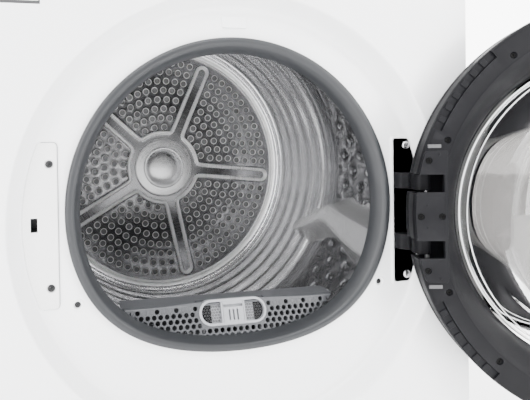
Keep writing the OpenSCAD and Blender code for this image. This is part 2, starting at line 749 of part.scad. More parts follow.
// One arc of the belt, seen along Y: the ring between two directions, less than half a turn
module arc_piece(r_in, r_out, a0, a1) {
    intersection() {
        difference() {
            circle(r_out);
            circle(r_in);
        }
        polygon([[0, 0], [9 * r_out * cos(a0), 9 * r_out * sin(a0)],
            [9 * r_out * cos((a0 + a1) / 2), 9 * r_out * sin((a0 + a1) / 2)],
            [9 * r_out * cos(a1), 9 * r_out * sin(a1)]]);
    }
}
module drum_belt() {
    small = pulley_r + 0.35;
    a0 = drive_a + wrap_a;
    long_way = 360 - 2 * wrap_a;
    color(black) along_y(belt_y, belt_w) {
        translate([0, drum_z]) {
            arc_piece(belt_in, belt_in + belt_t, a0, a0 + long_way / 2);
            arc_piece(belt_in, belt_in + belt_t, a0 + long_way / 2, a0 + long_way);
        }
        translate([motor_x, motor_z])
            arc_piece(small, small + belt_t, drive_a - wrap_a, drive_a + wrap_a);
        for (a = [drive_a + wrap_a, drive_a - wrap_a]) polygon([on_drum(a, belt_in), on_pulley(a, small),
            on_pulley(a, small + belt_t), on_drum(a, belt_in + belt_t)]);
    }
}
motor_r = 56;
module motor() {
    color(mid_grey) difference() {
        union() {
            rod_y(motor_x, motor_z, motor_r, -28, 118);
            rod_y(motor_x, motor_z, 20, -36, 134);
        }
        rod_y(motor_x, motor_z, 6 + running, -40, 150);
    }
}
module motor_rotor() {
    color(steel) {
        rod_y(motor_x, motor_z, 6, -66, 226);
        rod_y(motor_x, motor_z, pulley_r, belt_y - 1, belt_w + 2);
        for (y = [belt_y - 3, belt_y + belt_w + 1]) rod_y(motor_x, motor_z, pulley_r + 4, y, 2);
    }
}
blower_y = 112;
module blower_wheel() {
    color(black) {
        difference() {
            rod_y(motor_x, motor_z, 66, blower_y + 8, 2);
            rod_y(motor_x, motor_z, 6, blower_y, 60);
        }
        difference() {
            rod_y(motor_x, motor_z, 12, blower_y + 9.9, 20);
            rod_y(motor_x, motor_z, 6, blower_y, 60);
        }
        for (i = [0 : 23]) translate([motor_x, blower_y + 9.9, motor_z]) rotate([0, 15 * i, 0])
            translate([51.5, 0, 0]) rotate([0, 30, 0]) cube([12, 34, 1.5]);
        ring_y(motor_x, motor_z, 50, 66, blower_y + 43.8, 2);
    }
}
module blower_housing() {
    color(mid_grey) difference() {
        union() {
            rod_y(motor_x, motor_z, 76, blower_y, 52);
            block(motor_x, motor_x + 76, blower_y, blower_y + 52, motor_z, 205);
            block(motor_x + 6, motor_x + 74, blower_y, rear_bulk_y - 0.2, 204.9, 264);
        }
        rod_y(motor_x, motor_z, 73, blower_y + 3, 46);
        block(motor_x + 3, motor_x + 73, blower_y + 3, blower_y + 49, motor_z, 205);
        block(motor_x + 9, motor_x + 71, blower_y + 3, blower_y + 49, 200, 261);
        block(motor_x + 9, motor_x + 71, blower_y + 46, rear_bulk_y + 2, 208, 261);
        rod_y(motor_x, motor_z, 8, blower_y - 5, 20);
        rod_y(motor_x, motor_z, 48, blower_y + 40, 20);
    }
}
idler_r = 14;
// Middle of the belt's tight side, between the drum and the pulley, and the way out from it
run_a = drive_a + wrap_a;
run_share = 0.28;
run_point = on_drum(run_a, belt_in) * run_share + on_pulley(run_a, pulley_r + 0.35) * (1 - run_share);
idler_c = run_point + (belt_t + idler_r + gap) * [cos(run_a), sin(run_a)];
arm_pivot = [idler_c[0] + 14, idler_c[1] - 62];
module idler_arm() {
    color(steel) difference() {
        union() {
            along_y(belt_y + belt_w + 4, 4) {
                polygon([idler_c + [-8, 0], idler_c + [8, 0], arm_pivot + [8, 0], arm_pivot + [-8, 0]]);
                translate(idler_c) circle(8);
                translate(arm_pivot) circle(8);
            }
            rod_y(idler_c[0], idler_c[1], 4, belt_y - 3, belt_w + 8);
        }
        rod_y(arm_pivot[0], arm_pivot[1], 4 + running, belt_y - 5, 60);
    }
}
module idler_pulley() {
    color(black) ring_y(idler_c[0], idler_c[1], 4 + running, idler_r, belt_y - 1, belt_w + 2);
}
module idler_bracket() {
    // the idler's pivot, with the coil of its torsion spring
    color(steel) {
        rod_y(arm_pivot[0], arm_pivot[1], 4, belt_y + belt_w + 0.5, 26);
        ring_y(arm_pivot[0], arm_pivot[1], 4, 9, belt_y + belt_w + 8.5, 10);
        block(arm_pivot[0] - 4, arm_pivot[0] + 10, belt_y + belt_w + 18.4, belt_y + belt_w + 26,
            tray_z + 4, arm_pivot[1] + 10);
    }
}
roller_a = 30;
roller_x = (drum_r + gap + roller_r) * sin(roller_a);
roller_z = drum_z - (drum_r + gap + roller_r) * cos(roller_a);
module support_roller() {
    ring_y(0, 0, 4 + running, roller_r, -230, 14);
}
module roller_axle() {
    rod_y(0, 0, 4, bulk_y + 1.9, 57);
    rod_y(0, 0, 7, bulk_y + 1.9, 32);
}
module support_rollers_left() { color(black) translate([-roller_x, 0, roller_z]) support_roller(); }
module support_rollers_right() { color(black) translate([roller_x, 0, roller_z]) support_roller(); }

// ---- heat pump, pump, electronics ----

module compressor() {
    color(black) {
        translate([30, 20, 66]) cylinder(r = 54, h = 100);
        translate([30, 20, 165.9]) cylinder(r1 = 54, r2 = 30, h = 18, $fn = 64);
        for (a = [90, 210, 330]) translate([30 + 58 * cos(a), 20 + 58 * sin(a), 22.1]) cylinder(r = 9, h = 44);
        difference() {
            translate([30, 20, 60]) cylinder(r = 66, h = 6.1);
            translate([30, 20, 59]) cylinder(r = 50, h = 8);
        }
    }
}
module heat_exchanger() {
    color(steel) {
        for (i = [0 : 23]) block(-262, -72, -236 + i * 7, -235 + i * 7, 66, 186);
        for (i = [0 : 11]) block(-262, -72, -50 + i * 9, -48.5 + i * 9, 66, 186);
        for (x = [-240, -195, -150, -105], z = [85, 125, 165]) rod_y(x, z, 5, -244, 304);
    }
}
module condensate_pump() {
    color(black) {
        translate([-170, 180, 22.1]) cylinder(r = 34, h = 30);
        translate([-170, 180, 52]) cylinder(r = 24, h = 52);
        translate([-152, 180, 40]) rotate([0, 90, 0]) cylinder(r = 7, h = 40);
    }
}
module control_board() {
    color([0.1, 0.3, 0.2]) block(60, 246, -284, -282, 750, 815);
    color(mid_grey) {
        block(54, 252, -281.9, -270, 744, 820);
    }
}
inlet_x = 235;
inlet_z = 770;
drain_x = -240;
drain_z = 96;
module rear_connections() {
    color(black) {
        // mains cable gland
        difference() {
            union() {
                rod_y(inlet_x, inlet_z, 9, rear_y - 6, 20);
                rod_y(inlet_x, inlet_z, 13, rear_y, 3);
            }
            rod_y(inlet_x, inlet_z, 4, rear_y - 10, 40);
        }
        // drain spigot
        difference() {
            union() {
                rod_y(drain_x, drain_z, 9, rear_y - 10, 34);
                rod_y(drain_x, drain_z, 18, rear_y, 3);
            }
            rod_y(drain_x, drain_z, 6, rear_y - 12, 40);
        }
    }
}

base_tray();
levelling_feet();
left_side_panel();
right_side_panel();
top_panel();
rear_panel();
rear_screws();
front_panel();
control_fascia();
display_window();
programme_knob();
power_button();
start_button();
option_key_left();
option_key_right();
water_tank();
water_tank_tray();
kick_plate();
service_flap();
mouth_collar();
front_bulkhead();
drum_front_seal();
filter_housing();
lint_grille();
lint_filter();
filter_mesh();
moisture_sensor();
latch_plate();
latch_catch();
front_screws();
hinge_bracket();
hinge_pins();
door_ring();
door_cover();
door_glass_bowl();
door_window();
door_hinge_leaf();
door_hook();
door_screws();
drum_shell();
drum_back();
drum_lifters();
drum_shaft();
rear_bulkhead();
drum_bearing();
drum_belt();
motor();
motor_rotor();
blower_wheel();
blower_housing();
idler_arm();
idler_pulley();
idler_bracket();
support_rollers_left();
support_rollers_right();
compressor();
heat_exchanger();
condensate_pump();
control_board();
rear_connections();
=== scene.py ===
"""Front-loading tumble dryer with its door wide open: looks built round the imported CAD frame."""
import json
import math

import bmesh
import bpy
import numpy as np
from mathutils import Matrix, Vector, geometry, noise


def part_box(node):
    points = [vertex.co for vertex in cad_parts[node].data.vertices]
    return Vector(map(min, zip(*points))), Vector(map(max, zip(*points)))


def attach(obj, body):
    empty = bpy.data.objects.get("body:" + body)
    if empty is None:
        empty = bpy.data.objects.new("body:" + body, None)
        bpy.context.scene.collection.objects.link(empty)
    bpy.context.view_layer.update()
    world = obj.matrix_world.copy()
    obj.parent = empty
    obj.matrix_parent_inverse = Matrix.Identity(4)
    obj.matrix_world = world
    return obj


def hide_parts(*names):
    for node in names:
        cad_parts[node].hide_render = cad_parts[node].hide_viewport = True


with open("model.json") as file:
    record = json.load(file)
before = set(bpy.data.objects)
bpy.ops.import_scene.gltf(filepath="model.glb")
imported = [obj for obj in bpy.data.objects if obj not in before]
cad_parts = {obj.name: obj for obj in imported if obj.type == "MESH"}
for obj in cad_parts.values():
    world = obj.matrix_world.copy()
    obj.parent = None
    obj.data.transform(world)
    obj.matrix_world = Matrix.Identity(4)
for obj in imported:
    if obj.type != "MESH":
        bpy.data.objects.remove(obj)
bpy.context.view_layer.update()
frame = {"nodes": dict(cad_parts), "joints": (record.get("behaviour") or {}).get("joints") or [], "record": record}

MM = 0.001
JOINTS = {j["name"]: j for j in frame["joints"]}
NODES = frame["nodes"]

# ---- places taken from the frame, in millimetres ----


def box_mm(node):
    lo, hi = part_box(node)
    return [v / MM for v in lo], [v / MM for v in hi]


HINGE = [v / MM for v in JOINTS["door_hinge"]["pos_m"]]
DOOR_Z = HINGE[2]
DRUM_Z = JOINTS["drum_spin"]["pos_m"][2] / MM
OPEN = -math.radians(JOINTS["door_hinge"]["range_deg"][0])
PANEL_LO, PANEL_HI = box_mm("front_panel")
FRONT_Y = PANEL_LO[1]
COLLAR_HI = box_mm("mouth_collar")[1]
MOUTH_Z = COLLAR_HI[2] - COLLAR_HI[0]
# the floor of the round recess, the drum's back wall, and the inner face of the shut door's ring
FLOOR_Y = box_mm("latch_plate")[1][1]
BACK_Y = box_mm("drum_shaft")[0][1] - 1.5
RING_Y = FRONT_Y + 8
# the collar's inner edge: its radius, and how far below the mouth's centre its flat bottom lies
COLLAR_IN = (186.0, 157.2)
# height of each hinge arm's middle above or below the door's centre
ARM_Z = 38.5

# ---- mesh helpers (they take millimetres) ----


def link(obj):
    bpy.context.scene.collection.objects.link(obj)
    return obj


def outward(bm):
    bmesh.ops.recalc_face_normals(bm, faces=bm.faces)
    return bm


def bm_mesh(verts, faces):
    bm = bmesh.new()
    made = [bm.verts.new(v) for v in verts]
    for f in faces:
        bm.faces.new([made[i] for i in f])
    return bm


def new_object(name, verts, faces, material, body, slot=None, replaces=(), smooth=35, weighted=True):
    mesh = bpy.data.meshes.new(name)
    mesh.from_pydata([tuple(c * MM for c in v) for v in verts], [], faces)
    mesh.validate()
    return finish_piece(bpy.data.objects.new(name, mesh), material, body, replaces, smooth, weighted)


def finish_piece(obj, material, body, replaces=(), smooth=35, weighted=True):
    if obj.name not in bpy.context.scene.collection.objects:
        link(obj)
    mesh = obj.data
    bm = bmesh.new()
    bm.from_mesh(mesh)
    outward(bm).to_mesh(mesh)
    bm.free()
    mesh.polygons.foreach_set("use_smooth", [True] * len(mesh.polygons))
    mesh.set_sharp_from_angle(angle=math.radians(smooth))
    if weighted:
        mod = obj.modifiers.new("weighted", "WEIGHTED_NORMAL")
        mod.keep_sharp = True
    mesh.materials.clear()
    mesh.materials.append(material)
    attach(obj, body)
    if replaces:
        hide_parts(*replaces)
    return obj


def grid_faces(rows, cols, wrap_cols=True, wrap_rows=False, start=0):
    faces = []
    for i in range(rows if wrap_rows else rows - 1):
        a, b = start + i * cols, start + ((i + 1) % rows) * cols
        for j in range(cols if wrap_cols else cols - 1):
            k = (j + 1) % cols
            faces.append((a + j, a + k, b + k, b + j))
    return faces


def circle(r, count, x=0.0, z=0.0):
    turns = (2 * math.pi * j / count for j in range(count))
    return [(x + r * math.cos(a), z + r * math.sin(a)) for a in turns]


def lathe(profile, x=0.0, z=0.0, segs=96, closed=True, caps=False):
    """A (radius, y) profile turned about the line through (x, z) along Y."""
    verts = [(px, y, pz) for r, y in profile for px, pz in circle(r, segs, x, z)]
    faces = grid_faces(len(profile), segs, True, closed)
    if caps:
        faces.append(tuple(range(segs)))
        faces.append(tuple((len(profile) - 1) * segs + j for j in range(segs)))
    return verts, faces


def smooth_profile(points, steps=2):
    """Chaikin's corner cutting on an open profile, its ends kept."""
    for _ in range(steps):
        out = [points[0]]
        for p, q in zip(points, points[1:]):
            out.append(tuple(0.75 * a + 0.25 * b for a, b in zip(p, q)))
            out.append(tuple(0.25 * a + 0.75 * b for a, b in zip(p, q)))
        out.append(points[-1])
        points = out
    return points


def prism(outline, lo, hi, axis="y", bevel=0.0, segments=2):
    """A closed 2-D outline pushed from lo to hi along an axis, its edges rounded. Returns a bmesh."""
    place = {
        "y": lambda p, t: (p[0], t, p[1]),
        "z": lambda p, t: (p[0], p[1], t),
        "x": lambda p, t: (t, p[0], p[1]),
    }[axis]
    bm = bmesh.new()
    low = [bm.verts.new(place(p, lo)) for p in outline]
    high = [bm.verts.new(place(p, hi)) for p in outline]
    bm.faces.new(low)
    bm.faces.new(high[::-1])
    n = len(outline)
    for i in range(n):
        bm.faces.new((low[i], high[i], high[(i + 1) % n], low[(i + 1) % n]))
    outward(bm)
    if bevel:
        rims = [e for e in bm.edges if all(v in low for v in e.verts) or all(v in high for v in e.verts)]
        bmesh.ops.bevel(bm, geom=rims, offset=bevel, segments=segments, profile=0.5, affect="EDGES")
    return bm


def rounded(outline, radius, steps=4):
    """A polygon with its corners rounded."""
    out = []
    n = len(outline)
    for i in range(n):
        p, q, r = Vector(outline[i - 1]), Vector(outline[i]), Vector(outline[(i + 1) % n])
        a, b = (p - q), (r - q)
        cut = min(radius, a.length * 0.45, b.length * 0.45)
        if a.angle(b) > math.radians(165):
            out.append(tuple(q))
            continue
        s, e = q + a.normalized() * cut, q + b.normalized() * cut
        for k in range(steps + 1):
            t = k / steps
            out.append(tuple(s * (1 - t) ** 2 + q * 2 * t * (1 - t) + e * t * t))
    return out


def rect(x0, x1, z0, z1):
    return [(x0, z0), (x1, z0), (x1, z1), (x0, z1)]


def bm_box(x0, x1, y0, y1, z0, z1, bevel=0.0, segments=2):
    bm = bmesh.new()
    bmesh.ops.create_cube(bm, size=1.0)
    low, size = Vector((x0, y0, z0)), Vector((x1 - x0, y1 - y0, z1 - z0))
    for v in bm.verts:
        v.co = low + (v.co + Vector((0.5, 0.5, 0.5))) * size
    if bevel:
        bmesh.ops.bevel(bm, geom=list(bm.edges), offset=bevel, segments=segments, profile=0.5, affect="EDGES")
    return bm


def bm_rows(profile, x=0.0, z=0.0, segs=48, closed=False, caps=True):
    """A (radius, y) profile turned about a line along Y, as a closed bmesh."""
    bm = bm_mesh(*lathe(profile, x, z, segs, closed, caps))
    bmesh.ops.remove_doubles(bm, verts=bm.verts, dist=1e-4)
    return outward(bm)


def merge(*parts):
    """Several bmeshes as one."""
    mesh = bpy.data.meshes.new("merge")
    whole = bmesh.new()
    for part in parts:
        part.to_mesh(mesh)
        whole.from_mesh(mesh)
        part.free()
    bpy.data.meshes.remove(mesh)
    return whole


def to_object(name, bm):
    """A loose object in metres from a bmesh in millimetres."""
    bmesh.ops.scale(bm, vec=(MM, MM, MM), verts=bm.verts)
    mesh = bpy.data.meshes.new(name)
    bm.to_mesh(mesh)
    bm.free()
    return link(bpy.data.objects.new(name, mesh))


def cut(obj, *cutters):
    """Cuts each bmesh out of obj and leaves a plain mesh."""
    for bm in cutters:
        tool = to_object("cutter", bm)
        mod = obj.modifiers.new("cut", "BOOLEAN")
        mod.operation = "DIFFERENCE"
        mod.solver = "EXACT"
        mod.object = tool
        mesh = bpy.data.meshes.new_from_object(obj.evaluated_get(bpy.context.evaluated_depsgraph_get()))
        obj.modifiers.clear()
        old, obj.data = obj.data, mesh
        bpy.data.meshes.remove(old)
        bpy.data.objects.remove(tool)
    return obj


def opened(obj):
    """Turns a piece modelled with the door shut to where the open door is."""
    pivot = Vector(HINGE) * MM
    obj.data.transform(Matrix.Translation(pivot) @ Matrix.Rotation(OPEN, 4, "Z") @ Matrix.Translation(-pivot))
    return obj


# ---- materials ----


class Nodes:
    """A short way to write shader nodes."""

    def __init__(self, name):
        self.mat = bpy.data.materials.new(name)
        self.mat.use_nodes = True
        self.tree = self.mat.node_tree
        self.shader = self.tree.nodes["Principled BSDF"]
        self.coord = self.tree.nodes.new("ShaderNodeTexCoord").outputs["Object"]

    def node(self, kind, *values, **named):
        """A node with its inputs set by place, or by name with _ for a space."""
        made = self.tree.nodes.new("ShaderNode" + kind)
        for i, value in enumerate(values):
            self.put(made.inputs[i], value)
        for key, value in named.items():
            self.put(made.inputs[key.replace("_", " ")], value)
        return made

    def put(self, socket, value):
        if isinstance(value, bpy.types.NodeSocket):
            self.tree.links.new(value, socket)
        else:
            socket.default_value = value

    def math(self, operation, a, b=0.0):
        made = self.node("Math", a, b)
        made.operation = operation
        return made.outputs[0]

    def scaled(self, vector, x, y, z):
        made = self.node("VectorMath", vector, (x, y, z))
        made.operation = "MULTIPLY"
        return made.outputs[0]

    def round_about(self, x, z):
        """(angle, y, radius) about a line along Y."""
        split = self.node("SeparateXYZ", self.coord)
        dx = self.math("SUBTRACT", split.outputs[0], x)
        dz = self.math("SUBTRACT", split.outputs[2], z)
        square = self.math("ADD", self.math("MULTIPLY", dx, dx), self.math("MULTIPLY", dz, dz))
        angle, radius = self.math("ARCTAN2", dz, dx), self.math("SQRT", square)
        return self.node("CombineXYZ", angle, split.outputs[1], radius).outputs[0]

    def noise(self, scale, detail=3.0, vector=None, roughness=0.55):
        made = self.node("TexNoise", Scale=scale, Detail=detail, Roughness=roughness)
        self.put(made.inputs["Vector"], self.coord if vector is None else vector)
        return made.outputs["Fac"]

    def span(self, value, lo, hi, from_lo=0.3, from_hi=0.7):
        made = self.node("MapRange", Value=value, From_Min=from_lo, From_Max=from_hi, To_Min=lo, To_Max=hi)
        return made.outputs[0]

    def mix(self, factor, a, b):
        made = self.tree.nodes.new("ShaderNodeMix")
        made.data_type = "RGBA"
        self.put(made.inputs[0], factor)
        self.put(made.inputs[6], a)
        self.put(made.inputs[7], b)
        return made.outputs[2]

    def bump(self, height, strength, distance=0.001, normal=None):
        made = self.node("Bump", Height=height, Strength=strength, Distance=distance)
        if normal is not None:
            self.put(made.inputs["Normal"], normal)
        return made.outputs["Normal"]


    def surface(self, color, rough, vary, pattern, **settings):
        """A base colour that varies with a pattern, the roughness, and fixed values by name."""
        base = self.mix(self.span(pattern, 0.0, 1.0), tone(color, 1 - vary), tone(color, 1 + vary))
        self.put(self.shader.inputs["Base Color"], base)
        self.put(self.shader.inputs["Roughness"], rough)
        for key, value in settings.items():
            self.shader.inputs[key.replace("_", " ")].default_value = value
        return base

    def finish(self, normal):
        self.put(self.shader.inputs["Normal"], normal)
        return self.mat


def tone(color, factor):
    return tuple(min(1.0, c * factor) for c in color) + (1.0,)


def material(name, color, rough, metal=0.0, vary=0.05, blotch=9.0, grain=900.0, grain_depth=0.03,
             rough_vary=0.06, coat=0.0, wear=0.0, wear_color=None, specular=0.5, wave=0.0):
    """Moulded plastic, paint or plain metal: blotchy tone, fine grain, worn edges."""
    n = Nodes(name)
    uneven = n.span(n.noise(35.0, 4.0), rough - rough_vary, rough + rough_vary)
    base = n.surface(color, uneven, vary, n.noise(blotch, 4.0), Metallic=metal, Coat_Weight=coat,
                     Coat_Roughness=0.08, Specular_IOR_Level=specular)
    if wear:
        point = n.node("NewGeometry").outputs["Pointiness"]
        edge = n.math("MULTIPLY", n.span(point, 0.0, 1.0, 0.515, 0.56), n.span(n.noise(140.0), 0.3, 1.0))
        worn = n.mix(n.math("MULTIPLY", edge, wear), base, wear_color or tone(color, 1.6))
        n.put(n.shader.inputs["Base Color"], worn)
    normal = n.bump(n.noise(grain, 2.0), grain_depth, 0.0005)
    if wave:
        normal = n.bump(n.noise(4.0, 2.0), wave, 0.004, normal)
    return n.finish(normal)


def brushed(name, color, rough, centre, along="turn", depth=0.05, vary=0.12, metal=1.0, dents=0.0):
    """Sheet steel with fine lines round an axis on a wall (turn) or a disc (spin), or along X (flat)."""
    n = Nodes(name)
    fineness = {"turn": (6.0, 1400.0, 1400.0), "spin": (3.0, 30.0, 2200.0), "flat": (12.0, 700.0, 1500.0)}
    lines = n.scaled(n.coord if along == "flat" else n.round_about(*centre), *fineness[along])
    streak = n.noise(1.0, 3.0, lines, 0.6)
    mixed = n.math("ADD", n.math("MULTIPLY", streak, 0.6), n.math("MULTIPLY", n.noise(11.0, 4.0), 0.4))
    n.surface(color, n.span(mixed, rough * 0.75, rough * 1.3), vary, mixed, Metallic=metal)
    normal = n.bump(streak, depth, 0.0004)
    if dents:
        normal = n.bump(n.noise(28.0, 2.0), dents, 0.002, normal)
    return n.finish(normal)


def clear(name, color, rough):
    """Glass, with a faint unevenness and fine marks."""
    n = Nodes(name)
    marks = n.span(n.noise(90.0, 5.0), rough * 0.5, rough * 1.8)
    n.surface(color, marks, 0.03, n.noise(7.0), Transmission_Weight=1.0, IOR=1.45)
    return n.finish(n.bump(n.noise(12.0, 2.0), 0.02, 0.001))


DRUM_AXIS = (0.0, DRUM_Z * MM)
ENAMEL = material("white_enamel", (0.90, 0.905, 0.915), 0.32, vary=0.012, blotch=3.0, grain=1500,
                  grain_depth=0.02,
                  coat=0.35, wave=0.02, rough_vary=0.04)
WHITE = material("white_plastic", (0.80, 0.80, 0.80), 0.35, vary=0.015, grain=1800, coat=0.15)
COLLAR = material("collar_grey", (0.020, 0.0212, 0.0235), 0.40, vary=0.06, grain=2200, grain_depth=0.10,
                  wear=0.25, specular=0.34)
LIGHT_GREY = material("light_grey_plastic", (0.25, 0.255, 0.27), 0.40, grain=2000, grain_depth=0.08,
                      wear=0.3)
DOOR_GREY = material("door_dark_grey", (0.0045, 0.0045, 0.0055), 0.50, vary=0.10, grain=2400,
                     grain_depth=0.10,
                     wear=0.3, wear_color=(0.02, 0.02, 0.022, 1), specular=0.08)
BLACK = material("black_plastic", (0.012, 0.012, 0.013), 0.38, vary=0.2, grain=1800, grain_depth=0.10,
                 wear=0.3,
                 wear_color=(0.03, 0.03, 0.032, 1), specular=0.35)
RUBBER = material("rubber", (0.018, 0.018, 0.018), 0.62, vary=0.2, grain=1200, grain_depth=0.2)
FELT = material("felt", (0.42, 0.39, 0.34), 0.95, vary=0.16, blotch=40, grain=1500, grain_depth=0.7,
                specular=0.1)
ZINC = material("galvanised", (0.50, 0.51, 0.52), 0.42, metal=1.0, vary=0.14, blotch=34, grain=260,
                grain_depth=0.05)
STEEL = material("screw_steel", (0.52, 0.52, 0.53), 0.27, metal=1.0, vary=0.10, blotch=60, grain_depth=0.05,
                 wear=0.4)
ALUMINIUM = material("aluminium", (0.72, 0.73, 0.74), 0.36, metal=1.0, vary=0.08, blotch=50,
                     grain_depth=0.08)
BOARD = material("circuit_board", (0.03, 0.16, 0.06), 0.40, vary=0.25, blotch=120, grain=1200,
                 grain_depth=0.1)
INK = material("dark_print", (0.03, 0.03, 0.032), 0.55, vary=0.15, grain=2400, grain_depth=0.02)
LABEL = material("label_paper", (0.72, 0.82, 0.72), 0.45, vary=0.03, grain=1800, grain_depth=0.04)
SHELL = brushed("stainless_round", (0.62, 0.62, 0.63), 0.19, DRUM_AXIS, "turn", 0.002, 0.03)
# a darker copy of the drum's steel for the fine front ridges and the dimpled wall: painted shade
SHELL_SHADED = brushed("stainless_dimpled", (0.34, 0.34, 0.35), 0.12, DRUM_AXIS, "turn", 0.004, 0.10,
                      dents=0.02)
# two copies of the drum back's steel: a dark one for the sheet, painted shade, and a light one for the beads and
# rims, painted highlight
BACK_SHADED = brushed("stainless_back", (0.20, 0.20, 0.205), 0.24, DRUM_AXIS, "spin", 0.02, 0.14, dents=0.03)
BACK_HIGHLIGHT = brushed("stainless_rubbed", (0.86, 0.86, 0.86), 0.30, DRUM_AXIS, "spin", 0.02, 0.06,
                      metal=0.45)
POLISHED = brushed("stainless_polished", (0.76, 0.76, 0.77), 0.22, DRUM_AXIS, "flat", 0.01, 0.05,
                   metal=0.75, dents=0.03)
HUB = brushed("stainless_hub", (0.48, 0.48, 0.485), 0.28, DRUM_AXIS, "spin", 0.03, 0.08, dents=0.02)
# a dark sheet seen through the drum back's holes: painted shade
HOLE_BACKING_SHADE = material("spreader_sheet", (0.20, 0.20, 0.205), 0.5, metal=0.5, vary=0.2, blotch=40,
                    grain=600, grain_depth=0.1)
DARK_SCREW = material("dark_screw", (0.010, 0.010, 0.011), 0.35, metal=0.3, vary=0.15, blotch=200,
                      grain_depth=0.05)
GRILLE_GREY = material("grille_grey", (0.055, 0.057, 0.062), 0.38, grain=2200, grain_depth=0.08, wear=0.3)
GLOSS_BLACK = material("gloss_black", (0.003, 0.003, 0.0035), 0.45, vary=0.2, specular=0.06)
SCREEN_RIM = material("screen_rim", (0.05, 0.05, 0.052), 0.45, vary=0.1, specular=0.2)
SUNK_SCREW = material("sunk_screw", (0.002, 0.002, 0.002), 0.45, vary=0.2, grain_depth=0.05, specular=0.05)
TAB_GREY = material("tab_grey", (0.05, 0.05, 0.052), 0.40, vary=0.08, grain=2000, grain_depth=0.08)
KNOB = brushed("knob_steel", (0.58, 0.58, 0.59), 0.28, (0.010, 0.776), "spin", 0.05, 0.08)
GLASS = clear("clear_glass", (0.93, 0.94, 0.94), 0.02)
SMOKED = clear("smoked_glass", (0.135, 0.129, 0.125), 0.05)
# opaque white for the beads on the glass bowl's edge: painted highlight
GLASS_HIGHLIGHT = material("glass_edge", (0.80, 0.81, 0.81), 0.16, blotch=30, grain_depth=0.02, coat=0.5)
LINER = material("door_inner_grey", (0.115, 0.112, 0.110), 0.55, vary=0.04, blotch=14, grain=1600,
                 grain_depth=0.05)

SLOT_MATERIAL = {
    "white_enamel": ENAMEL, "white_plastic": WHITE, "grey_collar": COLLAR, "light_grey_plastic": LIGHT_GREY,
    "dark_grey_plastic": DOOR_GREY, "black_plastic": BLACK, "stainless": POLISHED, "steel": STEEL,
    "clear_glass": GLASS, "smoked_glass": SMOKED, "felt": FELT, "rubber": RUBBER, "galvanised": ZINC,
    "aluminium": ALUMINIUM, "circuit_board": BOARD,
}
NODE_MATERIAL = {"programme_knob": KNOB, "drum_shell": SHELL, "drum_back": BACK_SHADED,
                 "filter_housing": GRILLE_GREY}
for part in frame["record"]["subparts"]:
    node = NODES[part["node"]]
    node.data.materials.clear()
    node.data.materials.append(NODE_MATERIAL.get(part["node"], SLOT_MATERIAL[part["material_slot"]]))

# ---- camera ----

SENSOR_MM, LENS_MM = 36.0, 27.336906
YAW, PITCH, ROLL = (math.radians(a) for a in (9.22, -0.53, -0.98))
CAMERA_AT = Vector((-0.184, -0.7362, 0.5352))
forward = Vector((math.sin(YAW) * math.cos(PITCH), math.cos(YAW) * math.cos(PITCH), math.sin(PITCH)))
level = Vector((math.cos(YAW), -math.sin(YAW), 0))
upward = level.cross(forward)
right = level * math.cos(ROLL) + upward * math.sin(ROLL)
top = upward * math.cos(ROLL) - level * math.sin(ROLL)
camera = link(bpy.data.objects.new("camera", bpy.data.cameras.new("camera")))
camera.matrix_world = Matrix.Translation(CAMERA_AT) @ Matrix((right, top, -forward)).transposed().to_4x4()
camera.data.sensor_width = SENSOR_MM
camera.data.lens = LENS_MM
camera.data.shift_x = 0.2245
camera.data.shift_y = -0.0943
camera.data.clip_start = 0.02
bpy.context.scene.camera = camera

# ---- light, floor ----

world = bpy.data.worlds.new("studio")
world.use_nodes = True
wt = world.node_tree
wt.nodes["Background"].inputs["Color"].default_value = (1, 1, 1, 1)
direction = wt.nodes.new("ShaderNodeSeparateXYZ")
wt.links.new(wt.nodes.new("ShaderNodeTexCoord").outputs["Generated"], direction.inputs[0])
fade = wt.nodes.new("ShaderNodeMapRange")
fade.interpolation_type = "SMOOTHSTEP"
wt.links.new(direction.outputs[1], fade.inputs["Value"])
for key, v in (("From Min", -0.35), ("From Max", 0.15), ("To Min", 0.65), ("To Max", 9.0)):
    fade.inputs[key].default_value = v
wt.links.new(fade.outputs[0], wt.nodes["Background"].inputs["Strength"])
bpy.context.scene.world = world


def area_light(name, at, target, size, power):
    data = bpy.data.lights.new(name, "AREA")
    data.shape = "RECTANGLE"
    data.size, data.size_y = size
    data.energy = power
    obj = link(bpy.data.objects.new(name, data))
    obj.location = at
    obj.rotation_euler = (Vector(target) - Vector(at)).to_track_quat("-Z", "Y").to_euler()


area_light("key", (-1.9, -2.3, 1.3), (0, 0, 0.5), (1.4, 2.2), 130)
area_light("fill", (1.9, -2.1, 1.2), (0, 0, 0.45), (1.2, 2.0), 86)
area_light("top", (-0.1, -1.7, 2.4), (0, -0.1, 0.4), (2.2, 0.9), 86)

FLOOR = material("floor_white", (0.86, 0.86, 0.86), 0.7, vary=0.01, blotch=2, grain=300, grain_depth=0.02)
FLOOR_REACH = 6
floor_mesh = bpy.data.meshes.new("floor")
floor_corners = rect(-FLOOR_REACH, FLOOR_REACH, -FLOOR_REACH, FLOOR_REACH)
floor_mesh.from_pydata([(x, y, 0) for x, y in floor_corners], [], [(0, 1, 2, 3)])
floor_mesh.materials.append(FLOOR)
floor = link(bpy.data.objects.new("floor", floor_mesh))

# ---- drum ----

STAR_TURN = math.radians(66.3)
ARM_STEP = 2 * math.pi / 5
ARM_HALF, ARM_TIP, HUB_EDGE = 12.5, 234.0, 79.0
BACK_R = 267.2
HOLE_PITCH = 20.8
FIRST_RING = 91.0
HOLE_SIDES = 14
# where the fine ridges behind the dimples end, and the dimples begin
DIMPLES_Y = -65.0
WALL_R = 280.6


def from_arm(angle):
    """Angle from the nearest arm of the star."""
    return abs((angle - STAR_TURN + ARM_STEP / 2) % ARM_STEP - ARM_STEP / 2)


